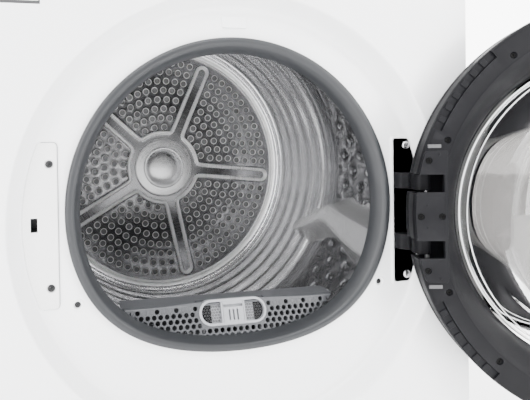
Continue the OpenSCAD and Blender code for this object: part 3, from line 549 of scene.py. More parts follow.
def bead_radius(angle):
    """Where the raised bead round the star lies, as a distance from the drum's axis."""
    off = from_arm(angle)
    if ARM_TIP * math.sin(off) < ARM_HALF:
        arm = ARM_TIP * math.cos(off) + math.sqrt(ARM_HALF ** 2 - (ARM_TIP * math.sin(off)) ** 2)
    else:
        arm = ARM_HALF / math.sin(off)
    return (HUB_EDGE ** 9 + arm ** 9) ** (1 / 9)


def even_steps(points, step):
    """Resamples a closed run of points at even spacing."""
    pts = np.array(points + points[:1])
    length = np.concatenate(([0], np.cumsum(np.linalg.norm(np.diff(pts, axis=0), axis=1))))
    at = np.linspace(0, length[-1], int(length[-1] / step) + 1)[:-1]
    return np.stack([np.interp(at, length, pts[:, i]) for i in (0, 1)], axis=1)


def pierced(points, first, count, per, sides):
    """Triangles over flat points, without those whose corners all sit on one hole's inner circle.

    The holes' points start at first, per to a hole, the inner circle's sides last. Returns the points, the
    triangles and the number that each point has in the list given.
    """
    made, _, faces, origin, _, _ = geometry.delaunay_2d_cdt([Vector(p) for p in points], [], [], 0, 1e-4)
    source = [o[0] for o in origin]

    def owner(i):
        o = source[i] - first
        return o // per if 0 <= o < per * count and o % per >= per - sides else -1

    kept = []
    for f in faces:
        owners = {owner(i) for i in f}
        if len(owners) > 1 or -1 in owners:
            kept.append(tuple(f))
    return made, kept, source


def paint_light_and_shade(obj, mat, chosen):
    """Gives a second material, another tone of the first, to the faces whose middle the test picks, to paint
    highlight and shade on them.
    """
    obj.data.materials.append(mat)
    for face in obj.data.polygons:
        if chosen(face.center.y):
            face.material_index = 1


def drum_back():
    y0 = BACK_Y
    pts, height = [], []

    def put(x, z, y):
        pts.append((x, z))
        height.append(y)

    turns = (2 * math.pi * i / 7200 for i in range(7200))
    line = even_steps([(bead_radius(a) * math.cos(a), bead_radius(a) * math.sin(a)) for a in turns], 3.0)
    ahead, behind = np.roll(line, -2, axis=0), np.roll(line, 2, axis=0)
    run = (ahead - behind) / np.linalg.norm(ahead - behind, axis=1)[:, None]
    out = np.stack([run[:, 1], -run[:, 0]], axis=1)
    bead = ((-5.4, -1.2), (-4.0, -1.5), (-3.2, -2.8), (-2.0, -4.6), (-0.7, -5.4), (0.7, -5.4), (2.0, -4.6),
            (3.2, -2.4), (4.2, -0.6), (5.6, 0.0))
    for offset, y in bead:
        for p, n in zip(line, out):
            put(p[0] + n[0] * offset, p[1] + n[1] * offset, y0 + y)
    holes = []
    for k in range(8):
        r = FIRST_RING + k * HOLE_PITCH
        count = 5 * round(2 * math.pi * r / HOLE_PITCH / 5)
        for i in range(count):
            a = STAR_TURN + 2 * math.pi * (i + 0.5) / count
            if r * math.sin(from_arm(a)) > ARM_HALF + 14 or from_arm(a) > 1.2:
                holes.append((r * math.cos(a), r * math.sin(a)))
    rim = ((8.6, 0.0), (8.1, -0.5), (7.7, -1.7), (7.0, -2.5), (6.3, -2.3), (5.8, -1.2), (5.6, 0.6))
    for x, z in holes:
        for r, y in rim:
            for at in circle(r, HOLE_SIDES, x, z):
                put(*at, y0 + y)
    rolled = ((254, 0), (256, -0.6), (257.5, -3.2), (259, -5), (260.5, -3.2), (262, -1.4), (263.5, -2.6),
              (265.2, -4.6), (BACK_R, -5.4))
    for r, y in rolled:
        for at in circle(r, 300):
            put(*at, y0 + y)
    taken = np.array(holes)
    # the sheet between, as a grid of points clear of every hole, of the bead and of the rolled edge
    for i in range(-45, 46):
        for j in range(-50, 51):
            x, z = (i + 0.5 * (j % 2)) * 6.4, j * 5.6
            r = math.hypot(x, z)
            if r > 251 or np.hypot(taken[:, 0] - x, taken[:, 1] - z).min() < 10.4:
                continue
            if np.hypot(line[:, 0] - x, line[:, 1] - z).min() >= 8.4:
                put(x, z, y0 - 1.2 if r < bead_radius(math.atan2(z, x)) else y0)
    made, kept, source = pierced(pts, len(line) * len(bead), len(holes), len(rim) * HOLE_SIDES, HOLE_SIDES)
    verts = [(v.x, height[i], DRUM_Z + v.y) for v, i in zip(made, source)]
    # the lip inside each hole
    for x, z in holes:
        kept.extend(grid_faces(3, HOLE_SIDES, True, False, len(verts)))
        verts += lathe(((5.6, y0 + 0.6), (5.5, y0 + 1.6), (5.5, y0 + 2.6)), x, DRUM_Z + z, HOLE_SIDES)[0]
    sheet = new_object("drum_back_sheet", verts, kept, BACK_SHADED, "drum", "stainless", ("drum_back",), 60)
    # the pressed beads and rims get the light copy of the steel, a painted highlight; the sheet between them keeps
    # the dark copy, painted shade
    paint_light_and_shade(sheet, BACK_HIGHLIGHT, lambda y: y < (y0 - 1.4) * MM)
    hub = [(66.5, -1.0), (65.2, -1.8), (64.6, -3.2), (63.6, -4.4), (61.5, -4.9), (47, -5.1), (45.2, -5.3),
           (44.3, -6.2), (43.0, -6.6), (41.8, -6.0), (40.2, -6.4), (37, -8.0), (32, -9.6), (25, -10.8),
           (16, -11.6), (8, -12.0), (0.4, -12.1)]
    cap = lathe([(r, y0 + y) for r, y in hub], 0, DRUM_Z, 128, False)
    new_object("drum_hub_cap", *cap, HUB, "drum", "stainless", (), 50)
    # a dark disc just behind the back sheet, seen through the holes: painted shade
    hole_backing = lathe([(64, y0 + 3.2), (262, y0 + 3.2), (262, y0 + 3.8), (64, y0 + 3.8)], 0, DRUM_Z, 160)
    new_object("drum_air_spreader", *hole_backing, HOLE_BACKING_SHADE, "drum", "stainless")


def drum_walls():
    y0 = BACK_Y

    def wave(y):
        turn = 2 * math.pi / 34
        return 277.8 - 4.4 * math.cos(turn * (y + 12)) - 0.6 * math.cos(2 * turn * (y + 3))

    profile = [(BACK_R, y0 - 5.4), (269.0, y0 - 4.6), (270.6, y0 - 3.0), (272.5, y0 - 2.0), (275.2, y0 - 3.2),
               (277.5, y0 - 6.5), (278.8, y0 - 11), (278.0, y0 - 15)]
    y = 140.0
    while y > -28:
        profile.append((wave(y) - (1.1 if 128 < y < 131 or 94 < y < 97 else 0.0), y))
        y -= 1.6
    for k in range(3):
        at = -43.0 - 7.0 * k
        profile += [(281.0, at), (WALL_R, at - 1.0), (280.1, at - 2.4), (279.9, at - 3.6), (280.1, at - 4.8),
                    (WALL_R, at - 6.0)]
    profile += [(280.8, DIMPLES_Y + 0.8), (280.8, DIMPLES_Y)]
    ribs = lathe(profile, 0, DRUM_Z, 288, False)
    ribbed = new_object("drum_wall_ribbed", *ribs, SHELL, "drum", "stainless", ("drum_shell",), 75)
    # the fine ridges in front get the darker copy of the steel: painted shade that holds back their highlight
    paint_light_and_shade(ribbed, SHELL_SHADED, lambda y: y < -42 * MM)
    around, pitch_x, pitch_y = 33, 54.0, 38.0
    rows, segs = 62, 528
    verts = []
    for i in range(rows):
        y = DIMPLES_Y - i * 175.0 / (rows - 1)
        for j in range(segs):
            a = 2 * math.pi * j / segs
            u, v = a / (2 * math.pi) * around, (y + 74) / pitch_y
            # each dimple is a sharp knob in a shallow saucer, with a soft cushion between them
            bump = 0.0
            for du, dv in ((0, 0), (0.5, 0.5)):
                pu, pv = u + du - round(u + du), v + dv - round(v + dv)
                d2 = (pu * pitch_x) ** 2 + (pv * pitch_y) ** 2
                bump += 5.4 * math.exp(-d2 / 26.0) - 1.6 * math.exp(-d2 / 150.0)
            cushion = 1.7 * math.cos(2 * math.pi * u) * math.cos(2 * math.pi * v)
            fade = min(1.0, (DIMPLES_Y - y) / 8, (y + 240.0) / 6 + 0.001)
            warp = 1.2 * noise.noise(Vector((math.cos(a) * 5, math.sin(a) * 5, y / 40)))
            # held inside the line where the rollers under the drum run
            r = min(WALL_R + fade * (bump + cushion * 0.6 + warp - 2.4), 282.6)
            verts.append((r * math.cos(a), y, DRUM_Z + r * math.sin(a)))
    # the dimpled wall is in the darker copy of the steel: painted shade
    new_object("drum_wall_dimpled", verts, grid_faces(rows, segs), SHELL_SHADED, "drum", "stainless", (), 80)
    lip = smooth_profile([(281, -239.5), (280, -243), (276, -245.5), (270, -245.8), (266.3, -244.5),
                          (266.3, -241)], 2)
    new_object("drum_wall_front_lip", *lathe(lip, 0, DRUM_Z, 192, False), SHELL, "drum", "stainless", (), 60)


LIFTER_STATIONS = (
    # y, turn of the ridge in degrees, height, half width of its flat top, spread below, spread above
    (-15, -3.6, 0.3, 0.8, 0.6, 1.0), (-17, -3.6, 22, 1.4, 1.0, 2.0), (-20, -3.6, 38, 1.9, 1.0, 3.0),
    (-25, -3.4, 43, 2.2, 1.1, 4.0), (-40, -2.0, 44, 2.4, 1.6, 5.0), (-60, 0.4, 44, 2.6, 2.6, 6.0),
    (-80, 3.4, 43.5, 2.8, 4.2, 6.5), (-92, 5.0, 43, 3.0, 5.4, 6.5), (-102, 5.4, 42, 3.2, 6.2, 6.5),
    (-116, 4.6, 40, 3.5, 6.6, 7.0), (-140, 2.6, 38, 3.8, 6.8, 7.5), (-175, 0.4, 36, 4.2, 6.8, 8.0),
    (-210, -1.0, 34, 4.4, 6.6, 8.0), (-232, -1.6, 32, 4.4, 6.0, 8.0), (-238, -1.8, 26, 4.2, 5.0, 7.0),
    (-240, -1.8, 0.3, 4.0, 4.0, 6.0),
)


def lifter(index, angle):
    ys = [-s[0] for s in LIFTER_STATIONS]
    stations = np.unique(np.concatenate((np.linspace(ys[0], ys[-1], 70), ys)))
    verts, cols = [], 0
    for at in stations:
        columns = zip(*LIFTER_STATIONS)
        _, turn, h, flat, below, above = (np.interp(at, ys, column) for column in columns)
        slope = ((1, 0), (0.62, 0.10), (0.16, 0.84), (0, 1))
        section = [(-flat - k * below, up * h) for k, up in slope] + [(0, h + 0.6)]
        section = smooth_profile(section + [(flat + k * above, up * h) for k, up in slope[::-1]], 3)
        cols = len(section)
        for off, up in section:
            a, r = angle + math.radians(turn + off), 281.4 - up
            verts.append((r * math.cos(a), -at, DRUM_Z + r * math.sin(a)))
    new_object(f"drum_lifter_{index}", verts, grid_faces(len(stations), cols, False), POLISHED, "drum",
               "stainless", ("drum_lifters",) if index == 0 else (), 70)


drum_back()
drum_walls()
for index, degrees in enumerate((-23, 97, 217)):
    lifter(index, math.radians(degrees))

# ---- white front panel with its round recess ----

BOSS_X, BOSS_Z = 190.5, 357.0
LATCH_SCREW_X, LATCH_SCREW_DZ = 219, 69
HINGE_SCREW_X, HINGE_SCREW_DZ = 228.5, 83


def soft_mouth(angle, r, low):
    """The mouth's outline: a circle whose lower part runs over softly into a flat, low below the centre."""
    flat = (low ** -5 - r ** -5) ** (-1 / 5)
    down = max(1e-6, -math.sin(angle))
    return (r ** -5 + (flat / down) ** -5) ** (-1 / 5)


def mouth_row(r, low, y, angles, z=MOUTH_Z):
    return [(soft_mouth(a, r, low) * math.cos(a), y, z + soft_mouth(a, r, low) * math.sin(a)) for a in angles]


def tube(rows):
    """Points and faces of closed rows, the last joined to the first."""
    return [v for row in rows for v in row], grid_faces(len(rows), len(rows[0]), True, True)


def circle_row(r, y, angles, z=DOOR_Z):
    return [(r * math.cos(a), y, z + r * math.sin(a)) for a in angles]


def front_panel():
    (x0, _, z0), (x1, _, z1) = PANEL_LO, PANEL_HI
    corners = [math.atan2(z - DOOR_Z, x) % (2 * math.pi) for x in (x0, x1) for z in (z0, z1)]
    angles = sorted({2 * math.pi * i / 320 for i in range(320)} | set(corners))

    def border_row(inset, y):
        row = []
        for a in angles:
            c, s = math.cos(a), math.sin(a)
            reach = min(
                ((x1 if c > 0 else x0) - (inset if c > 0 else -inset)) / c if abs(c) > 1e-9 else 1e9,
                ((z1 if s > 0 else z0) - (inset if s > 0 else -inset) - DOOR_Z) / s if abs(s) > 1e-9 else 1e9,
            )
            row.append((reach * c, y, DOOR_Z + reach * s))
        return row

    cove = smooth_profile([(236, FLOOR_Y), (249, FLOOR_Y - 0.3), (254.5, FLOOR_Y - 6), (260.5, FLOOR_Y - 20),
                           (262.6, FRONT_Y + 0.6), (264.5, FRONT_Y)], 3)
    rows = [mouth_row(195, 161.5, FLOOR_Y + 1.4, angles), mouth_row(195, 161.5, FLOOR_Y, angles)]
    rows += [circle_row(r, y, angles) for r, y in cove]
    rows += [border_row(2.2, FRONT_Y), border_row(1.0, FRONT_Y + 0.35), border_row(0.25, FRONT_Y + 1.1),
             border_row(0, FRONT_Y + 2.2), border_row(0, FRONT_Y + 13), border_row(1, FRONT_Y + 13),
             border_row(1.2, FRONT_Y + 2.2)]
    rows += [circle_row(r + 1.2, y + 1.0, angles) for r, y in cove[::-1]]
    obj = to_object("front_panel_pressing", outward(bm_mesh(*tube(rows))))
    cut(obj, bm_box(-244, -229, FLOOR_Y - 2, FLOOR_Y + 4, DOOR_Z - 10, DOOR_Z + 13),
        *(bm_rows([(7.4, FLOOR_Y - 3), (7.4, FLOOR_Y + 4)], s * BOSS_X, BOSS_Z, 40) for s in (-1, 1)))
    finish_piece(obj, ENAMEL, "cabinet", ("front_panel",), 40)
    # pressed bosses with a screw sunk in each
    ring = ((7.6, 0), (7.0, -0.5), (6.0, -0.9), (4.8, -0.6), (3.7, 0.6), (3.4, 3.0))
    ring = [(r, FLOOR_Y + y) for r, y in ring]
    for s, side in ((-1, "left"), (1, "right")):
        boss = lathe(ring, s * BOSS_X, BOSS_Z, 48, False)
        new_object(f"panel_boss_{side}", *boss, ENAMEL, "cabinet", "white_enamel", (), 60)
        screw(f"boss_screw_{side}", s * BOSS_X, FLOOR_Y + 1.6, BOSS_Z, 3.3, DARK_SCREW)


def screw(name, x, y, z, r, mat, turn=25, replaces=()):
    """A cross-head pan screw looking towards -Y."""
    head = bm_rows([(r * 0.999, y + r * 0.5), (r, y), (r * 0.93, y - r * 0.22), (r * 0.75, y - r * 0.38),
                    (r * 0.4, y - r * 0.47), (0.02, y - r * 0.5)], x, z, 36)
    obj = to_object(name, head)
    slots = []
    for k in (0, 90):
        bar = bm_box(-r * 0.58, r * 0.58, -r * 0.7, -r * 0.12, -r * 0.12, r * 0.12)
        bmesh.ops.rotate(bar, verts=bar.verts, matrix=Matrix.Rotation(math.radians(k + turn), 3, "Y"))
        bmesh.ops.translate(bar, verts=bar.verts, vec=(x, y, z))
        slots.append(bar)
    cut(obj, *slots)
    return finish_piece(obj, mat, "cabinet", replaces, 40)


def half_plate(x_in, x_out_r, dz, corner, sign):
    """A plate with a straight inner edge and an outer edge on a circle about the door's centre."""
    pts = [(x_in, -dz), (x_in, dz)]
    top_x = math.sqrt(x_out_r ** 2 - dz ** 2)
    low = math.atan2(dz, top_x)
    pts += [(x_out_r * math.cos(a), x_out_r * math.sin(a)) for a in np.linspace(low, -low, 25)]
    pts = rounded(pts, corner, 4)
    return [(sign * x, DOOR_Z + z) for x, z in pts]


def latch_plate():
    bm = prism(half_plate(210.2, 249.6, 93, 5, -1), FLOOR_Y - 3.2, FLOOR_Y + 0.2, "y", 1.5, 4)
    plate = to_object("latch_plate_moulding", bm)
    y = FLOOR_Y - 3.2
    funnel = [(x, y - 0.1, z) for x, z in rect(-245, -228, DOOR_Z - 11.5, DOOR_Z + 14.5)]
    funnel += [(x, y + 1.7, z) for x, z in rect(-241.5, -231.5, DOOR_Z - 8, DOOR_Z + 11)]
    sides = [(0, 1, 2, 3), (7, 6, 5, 4)] + grid_faces(2, 4)
    hole = bm_box(-240.3, -232.7, y - 1, y + 9, DOOR_Z - 6.5, DOOR_Z + 9.3)
    pockets = (bm_rows([(5.0, y - 1), (5.0, y + 1.3)], -LATCH_SCREW_X, DOOR_Z + s * LATCH_SCREW_DZ, 40)
               for s in (-1, 1))
    cut(plate, outward(bm_mesh(funnel, sides)), hole, *pockets)
    finish_piece(plate, WHITE, "cabinet", ("latch_plate",), 40)
    # a thin grey rim round the plate, a little wider than it: the painted shadow line that the plate stands in
    seat = half_plate(209.5, 250.4, 93.8, 6, -1)
    seat = to_object("latch_plate_seat", prism(seat, FLOOR_Y - 0.5, FLOOR_Y + 0.2, "y"))
    cut(seat, bm_box(-246, -227, FLOOR_Y - 2, FLOOR_Y + 2, DOOR_Z - 12.5, DOOR_Z + 15.5))
    finish_piece(seat, LIGHT_GREY, "cabinet", (), 40)
    for s, side in ((-1, "low"), (1, "high")):
        at = (-LATCH_SCREW_X, y + 0.7, DOOR_Z + s * LATCH_SCREW_DZ)
        screw(f"latch_screw_{side}", *at, 4.1, DARK_SCREW, 20 + 30 * s)


def collar():
    angles = [2 * math.pi * i / 360 for i in range(360)]
    # radius, depth of the flat bottom, height over the recess floor
    section = [(203.2, 171.0, 0), (203.0, 170.8, -4.5), (201.8, 169.6, -7.2), (198.5, 166.5, -8.2),
               (195.5, 163.8, -8.0), (193.6, 162.2, -6.6), (192.0, 161.4, -5.4), (188.6, 159.6, -0.5),
               (186.6, 158.2, 4.5), (*COLLAR_IN, 7.8)]
    shape = smooth_profile(section, 2)
    shape += [(188.6, 159.6, 7.8), (193.0, 162, 0.2)]
    rows = [mouth_row(r, low, FLOOR_Y + y, angles) for r, low, y in shape]
    new_object("mouth_collar_ring", *tube(rows), COLLAR, "cabinet", "grey_collar", ("mouth_collar",), 38)


def small_things():
    """The tab over the mouth, and a blank label with two dark edges at the panel's top left."""
    tab = prism(rounded(rect(-15.5, 15.5, 674.5, 688.5), 2.0), FLOOR_Y - 2.2, FLOOR_Y + 0.5, "y", 0.8, 3)
    finish_piece(to_object("recess_top_tab", tab), ENAMEL, "cabinet", (), 40)
    left, right, foot, low, high = -296, -225, 686.6, 690, 717
    for name, outline, proud, mat in (
        ("panel_label", rect(left, right, low, high), 0.16, LABEL),
        ("panel_label_foot", rect(left, right, foot, low), 0.18, INK),
        ("panel_label_side", rect(right, right + 1.6, foot, high), 0.18, INK),
    ):
        sticker = to_object(name, prism(outline, FRONT_Y - proud, FRONT_Y + 0.1, "y"))
        finish_piece(sticker, mat, "cabinet", (), 30, False)


front_panel()
collar()
latch_plate()
small_things()

# ---- lint filter and its grille, drawn in the plane of the leaning grille ----

GRILLE_LO, GRILLE_HI = box_mm("lint_grille")
LEAN = math.radians(18)
PLANE_Y, PLANE_Z = GRILLE_LO[1], GRILLE_LO[2] + 2.0 * math.sin(LEAN)
GRILLE_H = (GRILLE_HI[2] - PLANE_Z) / math.cos(LEAN)
CAPSULE_V, CAPSULE_W, CAPSULE_H = 25.0, 88.0, 31.0


def leaning(bm):
    """Moves a bmesh drawn as (x, t, v) into the leaning plane: v runs up it, t runs into it."""
    turn = Matrix.Rotation(-LEAN, 4, "X")
    bmesh.ops.transform(bm, matrix=Matrix.Translation((0, PLANE_Y, PLANE_Z)) @ turn, verts=bm.verts)
    return bm


def stadium(w, h, steps=14):
    """A w by h outline with two round ends."""
    pts = []
    for side in (1, -1):
        for k in range(steps + 1):
            a = -side * math.pi / 2 + math.pi * k / steps
            pts.append((side * (w - h) / 2 + h / 2 * math.cos(a), h / 2 * math.sin(a)))
    return pts


def from_handle(x, v):
    """Distance in the plane from the line between the centres of the handle's two round ends."""
    return math.hypot(max(0.0, abs(x) - (CAPSULE_W - CAPSULE_H) / 2), v - CAPSULE_V)


def grille():
    pitch, hole_r, sides = 8.0, 2.85, 16
    holes = []
    for row in range(-1, 8):
        v = 4.6 + row * pitch * 0.83
        for col in range(-20, 21):
            x = (col + (row % 2) / 2) * pitch
            reach = math.hypot(x, v * math.cos(LEAN) + PLANE_Z - MOUTH_Z)
            if -3 <= v <= GRILLE_H - 3.9 and reach <= 183 and from_handle(x, v) >= CAPSULE_H / 2 + 4.6:
                holes.append((x, v))
    rim = ((hole_r + 0.6, 0.0), (hole_r + 0.25, 0.16), (hole_r, 0.55))
    pts = [(px, pv, t) for x, v in holes for r, t in rim for px, pv in circle(r, sides, x, v)]
    pts += [(x, v + CAPSULE_V, 0.0) for x, v in even_steps(stadium(CAPSULE_W - 3, CAPSULE_H - 3), 1.6)]
    edge = [Vector(c) for c in ((-176, -6), (176, -6), (170, GRILLE_H - 2.4), (-170, GRILLE_H - 2.4))]
    for k in range(4):
        run = edge[(k + 1) % 4] - edge[k]
        n = int(run.length / 3)
        pts += [(*(edge[k] + run * i / n), 0.0) for i in range(n)]
    made, faces, source = pierced([p[:2] for p in pts], 0, len(holes), len(rim) * sides, sides)

    def behind_handle(f):
        x, v = (sum(made[i][k] for i in f) / len(f) for k in (0, 1))
        return from_handle(x, v) < (CAPSULE_H - 3) / 2 - 0.05

    kept = [f for f in faces if not behind_handle(f)]
    verts = [(v.x, pts[i][2], v.y) for v, i in zip(made, source)]
    for x, v in holes:
        kept.extend(grid_faces(2, sides, True, False, len(verts)))
        verts += [(px, t, pv) for t in (0.55, 3.2) for px, pv in circle(hole_r, sides, x, v)]
    # the rolled top edge
    top = ((0.0, -2.4), (-0.2, -1.2), (0.3, -0.2), (1.5, 0.3), (4, 1.0))
    kept.extend(grid_faces(len(top), 60, False, False, len(verts)))
    verts += [(x, t, GRILLE_H + v) for t, v in top for x in np.linspace(-170, 170, 60)]
    bm = leaning(bm_mesh(verts, kept))
    # trimmed to the mouth, so that it ends behind the collar
    gone = [v for v in bm.verts if math.hypot(v.co.x, v.co.z - MOUTH_Z)
            > soft_mouth(math.atan2(v.co.z - MOUTH_Z, v.co.x), 190, 161)]
    bmesh.ops.delete(bm, geom=gone, context="VERTS")
    sheet = to_object("lint_grille_panel", bm)
    finish_piece(sheet, GRILLE_GREY, "cabinet", ("lint_grille",), 50)


def capsule():
    body = prism([(x, v + CAPSULE_V) for x, v in stadium(CAPSULE_W, CAPSULE_H)], -1.5, 8.5, "y", 1.6, 4)
    obj = to_object("lint_filter_handle", leaning(body))
    windows = []
    for s in (-1, 1):
        pts = [(x, v) for x, v in stadium(CAPSULE_W - 6.5, CAPSULE_H - 6.5) if s * x > 16]
        pts = sorted(pts, key=lambda p: math.atan2(p[1], s * p[0] - 16))
        pts = [(s * 15.5, -(CAPSULE_H - 6.5) / 2)] + pts + [(s * 15.5, (CAPSULE_H - 6.5) / 2)]
        windows.append(leaning(prism(rounded([(x, v + CAPSULE_V) for x, v in pts], 1.6, 3), -3, 3.0, "y")))
    grips = [bm_box(x - 1.15, x + 1.15, -3, 2.5, CAPSULE_V - 10, CAPSULE_V + 2.5, 0.3, 1)
             for x in (-5.2, 0, 5.2)]
    bar = bm_box(-12.5, 12.5, -3, 2.2, CAPSULE_V + 5.4, CAPSULE_V + 8.6, 0.6, 2)
    sides = [bm_box(x - 0.45, x + 0.45, -3, -0.7, CAPSULE_V - 12.3, CAPSULE_V + 12.3)
             for x in (-13.4, 13.4)]
    cut(obj, *windows, *(leaning(bm) for bm in (*grips, bar, *sides)))
    finish_piece(obj, LIGHT_GREY, "lint_filter", ("lint_filter",), 38)
    frame_box = to_object("lint_cassette_frame", bm_box(-41, 41, -259, -246, 244, PLANE_Z + 10, 1.0, 2))
    cut(frame_box, bm_box(-37, 37, -262, -243, 248, PLANE_Z + 4, 0.8, 2))
    finish_piece(frame_box, LIGHT_GREY, "lint_filter", (), 38)
    gauze = to_object("lint_cassette_mesh", bm_box(-37, 37, -253.5, -252.5, 248, PLANE_Z + 4))
    finish_piece(gauze, STEEL, "lint_filter", (), 38)
    # the black, finely perforated screens in the two windows
    for s, name in ((-1, "left"), (1, "right")):
        parts = []
        rim = [(1.25, 2.0), (1.15, 1.3), (0.75, 1.2), (0.62, 1.7)]
        for row in range(-3, 4):
            for col in range(-5, 6):
                x, v = s * 27.5 + col * 3.5 + (row % 2) * 1.75, row * 3.2
                if abs(x) > 16.5 and math.hypot(max(0.0, abs(x) - 28.5), v) < 11:
                    parts.append(bm_rows(rim, x, CAPSULE_V + v, 8, False, False))
        plate = prism([(x * 0.98, v * 0.97 + CAPSULE_V) for x, v in stadium(CAPSULE_W - 6.5, CAPSULE_H - 6.5)
                       if s * x > 14], 2.0, 3.2, "y")
        finish_piece(to_object(f"lint_screen_{name}", leaning(plate)), GLOSS_BLACK, "lint_filter",
                     ("filter_mesh",) if s == -1 else (), 50)
        rims = to_object(f"lint_screen_rims_{name}", leaning(merge(*parts)))
        finish_piece(rims, SCREEN_RIM, "lint_filter", (), 50)


grille()
capsule()

# ---- hinge on the cabinet ----


def hinge_on_cabinet():
    y = FLOOR_Y
    # a shallow white frame pressed round the plate's seat
    seat_out = half_plate(207.6, 252.0, 96.5, 7, 1)
    seat = to_object("hinge_seat_rim", prism(seat_out, y - 0.9, y + 0.3, "y", 0.8, 3))
    cut(seat, prism(half_plate(209.2, 250.9, 94.3, 5, 1), y - 2, y + 1, "y"))
    finish_piece(seat, ENAMEL, "cabinet", (), 40)
    plate = to_object("hinge_plate", prism(half_plate(210.2, 250.2, 92.8, 4, 1), y - 2, y + 0.1, "y", 0.7, 3))
    finish_piece(plate, BLACK, "cabinet", ("hinge_bracket",), 40)
    hx, hy = HINGE[0], HINGE[1]
    # the gooseneck arm seen from above: from the plate out to the knuckle round the pin, and back
    outline = [(211, y - 1.9), (211, -281), (213, -287), (219.9, -291.2), (220.1, -294.5), (217, -299),
               (214.5, -303), (213.8, -309), (216, -313.5)]
    knuckle = ((-3, -4.25), (0, -4.3), (3, -3.1), (4.3, 0), (3.1, 3.0), (0, 4.3))
    outline += [(hx + dx, hy + dy) for dx, dy in knuckle]
    outline += [(222.8, -305.8), (220.5, -304.5), (220.8, -302), (226.5, -294), (227.5, -290), (231, -284),
                (236, -281), (236, y - 1.9)]
    outline = rounded(outline, 2.2, 3)
    for s, name in ((-1, "low"), (1, "high")):
        z = DOOR_Z + s * ARM_Z
        arm = to_object(f"hinge_arm_{name}", prism(outline, z - 9.9, z + 9.9, "z", 0.9, 3))
        finish_piece(arm, DOOR_GREY, "cabinet", (), 40)
        pin = bm_rows([(2.3, 0), (2.5, 0.4), (2.5, 35.6), (2.3, 36)], 0, 0, 32)
        upright = Matrix.Translation((hx, hy, z - 18)) @ Matrix.Rotation(math.pi / 2, 4, "X")
        bmesh.ops.transform(pin, matrix=upright, verts=pin.verts)
        finish_piece(to_object(f"hinge_pin_{name}", pin), STEEL, "cabinet",
                     ("hinge_pins",) if s == -1 else (), 40)
        at = (HINGE_SCREW_X, y - 2.2, DOOR_Z + s * HINGE_SCREW_DZ)
        screw(f"hinge_screw_{name}", *at, 5.2, STEEL, 40, ("front_screws",) if s == -1 else ())


hinge_on_cabinet()

# ---- door, modelled shut and then opened ----

SCREW_RING_R = 231
SCREW_ANGLES = (22.5, 53, 90, 127, 157.5, 202.5, 227, 270, 313, 337.5)
LEAF_SCREWS = ((236, 65), (245.5, 0), (221.5, 0), (238, -63))
BOTH_WAYS = [(sx, sz) for sx in (-1, 1) for sz in (-1, 1)]


def on_door(obj, mat, replaces=(), smooth=35):
    return finish_piece(opened(obj), mat, "door", replaces, smooth)


def round_door(r, degrees, sx=1, sz=1):
    """A point (x, z) on a circle about the door's centre, mirrored by the two signs."""
    a = math.radians(degrees)
    return r * math.cos(a) * sx, DOOR_Z + sz * r * math.sin(a)


def ring_piece(inner, outer, angles, sx, sz):
    """The outline of a piece of a ring between two radii."""
    there = [round_door(inner, a, sx, sz) for a in angles]
    return there + [round_door(outer, a, sx, sz) for a in angles[::-1]]


def sunk_screws(name, head, places, segs, replaces=()):
    """A screw head, drawn as (radius, height over the ring), at each place."""
    profile = [(r, RING_Y + up) for r, up in head]
    for i, at in enumerate(places):
        bm = bm_rows(profile, *at, segs)
        on_door(to_object(f"{name}_{i}", bm), SUNK_SCREW, replaces if i == 0 else ())


def door_ring():
    y = RING_Y
    shape = [(224.2, y + 0.2), (224.9, y - 0.1), (225.6, y), (248.0, y)]
    shape += smooth_profile([(248.0, y), (250.4, y - 0.2), (251.8, y - 1.6), (252.0, y - 4)], 2)[1:]
    shape += [(248.5, y - 18.2), (246, y - 17.5), (248.2, y - 3.6), (226, y - 3.2), (194, y - 24.6),
              (190.6, y - 24.8), (190.6, y - 22.4), (192.2, y - 22.0)]
    shape += smooth_profile([(192.2, y - 22.0), (194.5, y - 19.6), (200, y - 12.5), (215, y - 3.2),
                             (220, y - 0.9), (224.2, y + 0.2)], 2)[1:-1]
    ring = to_object("door_ring_moulding", outward(bm_mesh(*lathe(shape, 0, DOOR_Z, 288))))
    cutters = []
    for s in (-1, 1):
        z = DOOR_Z + s * ARM_Z
        cutters.append(bm_box(214.5, 262, y - 30, y + 5, z - 11.5, z + 11.5))
    for a in SCREW_ANGLES:
        pocket = [(4.2, y + 1), (4.0, y - 0.6), (3.1, y - 2.2)]
        cutters.append(bm_rows(pocket, *round_door(SCREW_RING_R, a), 32))
    # a shallow grip band in the edge
    for signs in BOTH_WAYS:
        band = ring_piece(241.5, 258, np.linspace(24.2, 49.2, 14), *signs)
        cutters.append(prism(band, y - 1.7, y + 2, "y"))
    cut(ring, *cutters)
    on_door(ring, DOOR_GREY, ("door_ring",), smooth=40)
    ribs = []
    for signs in BOTH_WAYS:
        for k in range(6):
            start = 26.4 + k * 3.7
            outline = ring_piece(242.2, 250.6, (start, start + 1.7), *signs)
            ribs.append(prism(rounded(outline, 1.2, 3), y - 2.2, y - 0.5, "y", 0.7, 3))
    on_door(to_object("door_grip_ribs", merge(*ribs)), DOOR_GREY)
    head = ((2.9, -2.4), (2.9, -1.3), (2.5, -1.0), (1.5, -1.0), (1.2, -1.8), (0.02, -1.8))
    places = [round_door(SCREW_RING_R, a) for a in SCREW_ANGLES]
    sunk_screws("door_ring_screw", head, places, 24, ("door_screws",))


